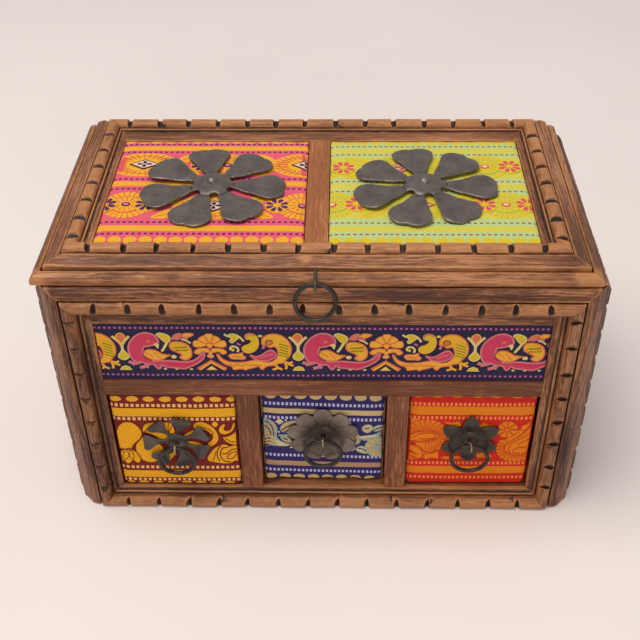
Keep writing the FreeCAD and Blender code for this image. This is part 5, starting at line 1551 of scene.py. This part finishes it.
def draw_lozenge(work, centre):
    """A lozenge with a four-petalled flower, in an eye of veins between leaves."""
    eye = EYE_HALF + [(-x, y) for x, y in reversed(EYE_HALF)][1:]
    eye += [(-x, -y) for x, y in eye[1:-1]]
    work.fill("gold", about(centre, eye))
    work.stroke("line", about(centre, [(x * 0.72, y * 0.76) for x, y in eye]), 0.4, closed=True)
    for index in range(28):
        angle = math.tau * (index + 0.5) / 28
        spokes = [(math.cos(angle) * x, math.sin(angle) * y) for x, y in ((9.6, 6.2), (16.4, 10.2))]
        work.stroke("line", about(centre, spokes), 0.4, layer=3, smooth=False)
    for side in (-1, 1):
        for up in (-1, 1):
            work.fill("gold", about(centre, [(x, y * up) for x, y in SPRAY_LEAF], side))
            work.stroke("line", about(centre, [(x, y * up) for x, y in SPRAY_VEIN], side), 0.4)
    work.fill("outline", about(centre, ((-7.8, 0), (0, 4.9), (7.8, 0), (0, -4.9))), layer=4, smooth=False)
    work.fill("pale", about(centre, ((-6.5, 0), (0, 3.9), (6.5, 0), (0, -3.9))), layer=5, smooth=False)
    work.petals("outline", centre, 4, 0.4, 3.6, 2.2, first=0, squash=0.8, layer=6)


def make_lid_figures(side, colours, flowers, lozenges, slot):
    threads = thread_set(f"lid_{side}", colours, "flat")
    low, high = extent(f"lid_{side}_pad")
    work = Threadwork(threads, (high - low)[:2])
    for centre in lozenges:
        draw_lozenge(work, centre)
    for centre, floret_out in flowers:
        draw_scalloped_flower(work, centre, floret_out)
    return work.lay(f"lid_{side}_figures", cloths[f"lid_{side}"], "flat", low, "lid", slot)


make_lid_figures(
    "left", {"gold": GOLD, "line": (222, 96, 76), "floret": PURPLE, "heart": (230, 112, 136),
             "outline": (58, 26, 50), "pale": (244, 206, 186)},
    [((56.0, 68.0), 13.0), ((10.3, 31.7), 10.0), ((95.0, 30.7), 12.0)],
    [(13.7, 69.0), (96.0, 68.4), (52.7, 30.4)], "pink_brocade")
make_lid_figures(
    "right", {"gold": GREEN_GOLD, "line": (176, 200, 96), "floret": ROSE, "heart": (236, 210, 156),
              "outline": BRICK, "pale": (236, 170, 130)},
    [((-5.6, 65.4), 12.3), ((77.7, 66.7), 12.3), ((1.3, 32.0), 11.7), ((84.1, 31.7), 10.3)],
    [(36.0, 66.0), (42.7, 31.5)], "lime_brocade")

# %% [markdown]
# ## The drawers' paisleys
#
# Each drawer shows another cut of cloth: gold paisleys and scrolls on maroon, pale leaves and flowers on
# indigo, scalloped orange paisleys on red. Only what shows round the iron rosette has to be drawn with care.

# %% Drawer figures
def draw_maroon(work):
    leaf = partial(work.fill, "gold", rim="ground", rim_width=0.35)
    vein = partial(work.stroke, "ground")
    for points in (
        [(-0.5, 35), (1.3, 40.4), (3.5, 44.3), (6.5, 46.5), (10, 45.9), (12.6, 42.9), (13.8, 39.3),
         (13.1, 35.8), (10.8, 32.8), (8.3, 29.9), (6.8, 27.1), (4.5, 26.7), (-0.5, 28.1)],
        [(5.9, 27.6), (5.0, 21.6), (0.4, 17.0), (-0.6, 22.9)],
        [(5.9, 27.6), (7.6, 20.8), (3.7, 15.7), (1.8, 21.6)],
        [(5.9, 27.6), (11.2, 21.7), (9.2, 16.6), (5.2, 21.9)],
        [(10, 30.7), (9.3, 26.3), (10.3, 21.3), (13, 18.1), (16.5, 17.1), (19.3, 18.4), (21.5, 21.3),
         (23.5, 27.1), (22, 30.7), (19, 30.7), (16.5, 34.3), (14.3, 36.3), (12, 33.5)],
        [(14.3, 39.7), (15, 43.6), (17, 45.6), (21, 46.5), (26, 46.5), (30, 45.9), (28, 40.7), (26, 34.3),
         (23.5, 32.8), (20.5, 36.4), (17, 38.6)]):
        leaf(points)
    vein([(15, 39.2), (18, 42.9), (22, 44.9)], 0.5)
    for points in (
        [(28, 45.6), (29.3, 45.6), (30.6, 40.7), (30, 34.3), (28.3, 35.7), (27.4, 40.7)],
        [(34.6, 36.8), (37.1, 39.3), (40.1, 41.3), (42.6, 41.3), (41.1, 38.6), (38.1, 36.1), (35.3, 35)],
        [(35.7, 32.8), (38.6, 33.1), (42.1, 32), (45.3, 29.9), (44.6, 28.1), (41.1, 28.1), (37.6, 29.9)],
        [(40.8, 45.6), (43.6, 46.9), (47.1, 45.9), (50.6, 42.2), (52.3, 37.1), (51.6, 32.8), (49.3, 29.9),
         (46.6, 29.1), (46.3, 31.7), (48.3, 33.5), (49.3, 36.4), (47.8, 39.3), (45.1, 41.5), (42.1, 40.7),
         (40.1, 42.9)]):
        leaf(points)
    work.oval("ground", (48.5, 37.3), 1.1, 1.3, layer=2)
    vein([(44.6, 42.9), (47.6, 41.6), (50.1, 38.6)], 0.45)
    work.oval("gold", (51.1, 45.1), 1.4, 1.8)
    for points in (
        [(52.6, 40.4), (53.4, 43.6), (55.5, 45.6), (56.3, 44.5), (55.3, 42), (56.6, 40.6), (58.7, 41.6),
         (59.9, 45.1), (60.9, 46.4), (60.8, 42.9), (59.1, 39.7), (56.1, 38), (53.8, 38.4)],
        [(54.4, 36.1), (57.1, 36.6), (60.1, 38.6), (62.6, 40.7), (62.6, 29.4), (59.6, 30.1), (56.6, 32),
         (55, 33.9)]):
        leaf(points)
    vein([(55.6, 35.3), (58.1, 32.8), (61.6, 31.7)], 0.45)
    leaf([(45.3, 20.6), (46.8, 24.2), (49.3, 27.8), (52.1, 30.1), (55.1, 31), (57.6, 29.2), (59.1, 29.9),
          (62.6, 28.5), (62.6, 17.7), (59.6, 18.4), (57.1, 16.8), (53.1, 16.7), (48.1, 17.6), (45.8, 18.4)])
    for points in (
        [(53.2, 30.1), (51.2, 27.1), (50.6, 22.7), (51.6, 18.4)],
        [(56.6, 28.5), (54.3, 28.5), (52.6, 25.6), (52.5, 21.3), (54.3, 18.4), (57.6, 17.9)]):
        vein(points, 0.6)
    vein([(53.4, 24.2), (55.6, 24.2), (58.1, 26.7), (62.1, 27.1)], 0.55)
    for points in (
        [(55.6, 21.3), (57.6, 24.2), (62.1, 25.3)],
        [(55.3, 20.4), (58.6, 20.6), (60.8, 23.5), (62.1, 23.6)]):
        vein(points, 0.5)
    vein([(48.1, 18.4), (49.3, 22), (50.1, 25.6)], 0.4)
    for points in (
        [(24, 21.3), (27, 24.2), (29.5, 25.3), (28, 21.3), (25.5, 18.4)],
        [(35.1, 24.2), (37.1, 24.2), (38.6, 21.3), (39.6, 18.4), (37.1, 18.4)]):
        leaf(points)


def draw_indigo(work):
    leaf = partial(work.fill, "gold", rim="sky")
    pale_leaf = partial(work.fill, "cream", rim="sky")
    vein = partial(work.stroke, "ground", width=0.5, layer=4)
    work.fill("sky", [(-0.5, 43.5), (2.8, 43.7), (5.4, 41.6), (6.8, 37.4), (6.4, 32.9), (7.5, 30),
                      (10, 27.4), (12, 25.5), (7.5, 25.1), (3, 25.2), (-0.5, 24.7)])
    for start, middle, end in ((40, 41.5, 40.5), (37.6, 39.1, 38.1), (35.2, 36.7, 35.6), (32.8, 34.3, 33.2),
                               (30.4, 31.9, 30.8), (28, 29.4, 28.4), (25.7, 27.2, 26.1)):
        work.stroke("gold", [(-0.4, start), (2.5, middle), (5.6, end)], 1.3, layer=2)
    work.fill("cream", [(7.8, 44.8), (9.9, 42.8), (7.8, 40.7), (5.6, 42.8)], smooth=False)
    work.oval("cream", (11.0, 43.8), 0.6, 0.6)
    work.oval("cream", (13.8, 24.5), 0.6, 0.6)
    work.oval("cream", (7.5, 35.5), 0.6, 0.6)
    for points in (
        [(8.3, 37.8), (9.8, 41.2), (13.1, 43.1), (16.5, 43.6), (20, 41.5), (19, 36.9), (15, 34.6),
         (14.3, 32.3), (12, 35.2), (9.5, 35.8)],
        [(8.6, 32), (11.6, 32), (14.3, 28.5), (11.8, 28.2), (9.5, 29.8)]):
        leaf(points)
    work.fill("cream", [(6, 29.4), (9, 28.4), (12, 26.9), (14.5, 26.7), (10.5, 25.3), (7, 25.8)])
    leaf([(14.5, 32.9), (16.5, 30.6), (19.4, 29.3), (19.2, 26.1), (17.2, 24.5), (15.9, 26.3), (15.6, 29.4)])
    work.stroke("sky", [(7.3, 33.3), (9.8, 32.9), (13.1, 33.9), (15, 35.8)], 1.2)
    work.oval("gold", (22.5, 42.6), 3.5, 2.9, rim="sky")
    work.oval("gold", (40.1, 42.6), 3.5, 2.9, rim="sky")
    work.oval("gold", (21.5, 27.7), 3.0, 2.3, rim="sky")
    work.oval("gold", (31.0, 46.1), 3.0, 1.7, rim="sky")
    work.oval("gold", (44.1, 28.9), 2.5, 2.3, rim="sky")
    pale_leaf([(49.5, 39.7), (50.6, 41.7), (52.9, 42.3), (54.7, 40.6), (53.9, 37.8), (52.1, 36.7),
               (50.4, 37.7)])
    work.fill("gold", [(50.8, 39.7), (52.5, 40.9), (53.6, 39.4), (52.2, 37.9)], layer=3)
    pale_leaf([(54.9, 39.1), (56.6, 41.4), (59.6, 41.8), (61.4, 40.6), (59.1, 38.7), (56.6, 37.6)])
    work.stroke("sky", [(47.8, 32), (51.1, 32.9), (55.1, 34), (58.6, 35.8), (62.6, 38.6)], 2.2)
    work.stroke("cream", [(48.1, 32.9), (52.6, 33.9), (56.6, 34.3), (62.6, 33.9)], 1.6)
    work.stroke("sky", [(50.6, 31.2), (54.6, 32.2), (58.6, 32.4), (62.6, 31.9)], 1.0)
    work.fill("gold", [(59.1, 36.3), (62.1, 37.7), (62.6, 34.6), (60.1, 34.6)])
    work.petals("gold", (57.6, 26.5), 9, 1.4, 6.0, 4.3, squash=1.2, rim="sky")
    work.oval("sky", (57.6, 26.5), 1.6, 1.4, layer=3)
    pale_leaf([(47.2, 25.4), (49.1, 26.8), (52.1, 26), (53.6, 23.5), (52.6, 21.8), (49.6, 22.2),
               (47.6, 23.4)])
    for points in (
        [(43.1, 26), (45.1, 26.8), (46.6, 25.1), (45.1, 23.4), (43.5, 24.1)],
        [(45.1, 35.2), (48.1, 34.6), (48.8, 30), (46.1, 27.7), (44.6, 31.2)]):
        leaf(points)
    for points in (
        [(1, 42.6), (3, 40.9), (4.5, 37.5), (4.8, 32.9)],
        [(0.4, 39.7), (2.5, 37.4), (3.5, 33.5)],
        [(9, 36.9), (12, 39.8), (16, 42.1)],
        [(10.5, 35.8), (14.5, 38.5), (18.5, 40.3)],
        [(9.8, 31.3), (12, 30)],
        [(15.5, 31.2), (17, 27.7), (17.4, 25.4)],
        [(50.6, 39.7), (53.1, 40.3)],
        [(55.6, 38.6), (58.1, 40.1), (60.6, 40.7)],
        [(48.1, 25.4), (50.6, 24.7), (52.6, 23.1)],
        [(45.3, 34.6), (46.6, 31.7), (46.3, 28.6)]):
        vein(points)


def draw_red(work):
    leaf = partial(work.fill, "gold", rim="ground")
    vein = partial(work.stroke, "ground", layer=5)
    work.fill("gold", [(-0.5, 20), (-0.5, 46), (8, 46.4), (15, 44), (18.6, 38), (17.6, 30), (14.6, 24),
                       (8, 20)], layer=0.5)
    work.fill("gold", [(46, 24), (47, 31), (52, 36.4), (57, 42), (62.6, 46), (62.6, 19.8),
                       (51, 19.8)], layer=0.5)
    work.petals("gold", (9.3, 36.6), 13, 3.0, 11.0, 3.6, first=-8, sweep=196, rim="ground")
    work.petals("gold", (9.3, 36.6), 7, 3.0, 10.6, 3.6, first=-80, sweep=74, rim="ground")
    leaf([(-0.5, 35), (1.5, 36.9), (4.5, 38.7), (8.5, 39.6), (12.5, 39.1), (15, 37.4), (15.2, 35.3),
          (13.1, 33.1), (9.5, 31.9), (4.5, 31.9), (-0.5, 31.4)], layer=3)
    vein([(3, 35), (6, 37.7), (10.5, 38.4), (13.8, 37.2), (13.2, 35), (9.5, 34.1), (5.5, 34.2)], 0.5)
    vein([(-0.4, 32.4), (4, 32.4), (9, 32.7), (14.5, 34.4)], 0.45)
    leaf([(-0.5, 28.3), (2.5, 29), (5.8, 27.7), (7.5, 24.8), (8, 21.6), (6.5, 19.9), (3, 19.1),
          (-0.5, 19.4)])
    vein([(-0.4, 28.8), (3, 29.3), (6.4, 27.7), (8.6, 25.1), (11.9, 24.1), (15, 26.3)], 0.6)
    for points in (
        [(0.5, 26.7), (1.8, 25.1), (3, 24.2)],
        [(0, 24.8), (2.8, 23.5), (5.5, 22.9)],
        [(-0.3, 22.9), (2.3, 21.2), (4.8, 20.2)]):
        vein(points, 0.45)
    for points in (
        [(8.5, 21.6), (10, 23.5), (13.1, 23.4), (15.5, 24.8), (16.3, 21.6), (15.9, 19.4), (12.5, 20.1),
         (9.8, 18.8)],
        [(17, 46.4), (21, 45.7), (25, 46.3), (26, 43.3), (23.5, 42.2), (20, 43.9)],
        [(34.6, 43.3), (37.1, 45.2), (40.1, 44.4), (43.1, 43.3), (41.1, 41.3), (36.6, 41.3)],
        [(17.5, 20.4), (21, 21.6), (26, 21.6), (28, 19.9), (23.5, 19), (19.5, 19)],
        [(34.1, 22.9), (38.1, 24.2), (41.6, 23.5), (43.6, 21), (40.1, 20.1), (36.1, 20.4)],
        [(20, 35.6), (23, 35.6), (25, 29.3), (22, 26.7), (19, 30.5)]):
        leaf(points)
    work.petals("gold", (49.3, 40.8), 8, 1.0, 5.2, 3.9, first=22.5, squash=1.1, rim="ground")
    work.oval("gold", (49.3, 40.8), 1.3, 1.2, layer=2, rim="ground")
    work.petals("gold", (55.3, 27.7), 17, 3.0, 10.4, 3.4, first=150, sweep=240, rim="ground")
    leaf([(49.3, 28.3), (50.6, 31.2), (53.3, 34), (56.6, 37.2), (59.6, 41), (62.6, 44.5), (62.6, 24.8),
          (59.6, 22.8), (55.1, 22.3), (51.6, 23.9), (49.7, 26.1)], layer=3)
    for points in (
        [(62.1, 39.9), (58.6, 36.3), (54.1, 33), (51.6, 29.3), (51.6, 25.5), (54.1, 22.8), (58.1, 22.9),
         (61.1, 24.8)],
        [(61.6, 26.7), (58.6, 28.3), (55.1, 27.7), (53.6, 25.5), (55.1, 23.8), (57.6, 24.4)]):
        vein(points, 0.55)
    vein([(62.1, 35), (58.6, 32.4), (55.6, 30.5)], 0.45)
    leaf([(56.1, 43.3), (58.1, 44.4), (60.6, 46.3), (59.1, 41.3), (56.6, 40.1)])


DRAWER_THREADS = {
    "left": ({"gold": (250, 176, 16), "ground": MAROON}, draw_maroon, "maroon_brocade"),
    "middle": ({"gold": (216, 184, 112), "sky": (158, 176, 172), "cream": (222, 204, 156), "ground": INDIGO},
               draw_indigo, "indigo_brocade"),
    "right": ({"gold": ORANGE, "ground": (218, 74, 12)}, draw_red, "red_brocade"),
}
for side, (colours, draw, slot) in DRAWER_THREADS.items():
    threads = thread_set(side, colours, "upright", 0.45)
    low, high = extent(f"{side}_drawer_facing")
    work = Threadwork(threads, (high.x - low.x, high.z - low.z), margin=1.2)
    if side == "middle":
        work.turned, work.origin = Matrix.Rotation(math.radians(INDIGO_LEAN), 2), Vector((0, 1))
    draw(work)
    work.lay(f"{side}_drawer_figures", cloths[side], "upright", low, f"{side}_drawer", slot)
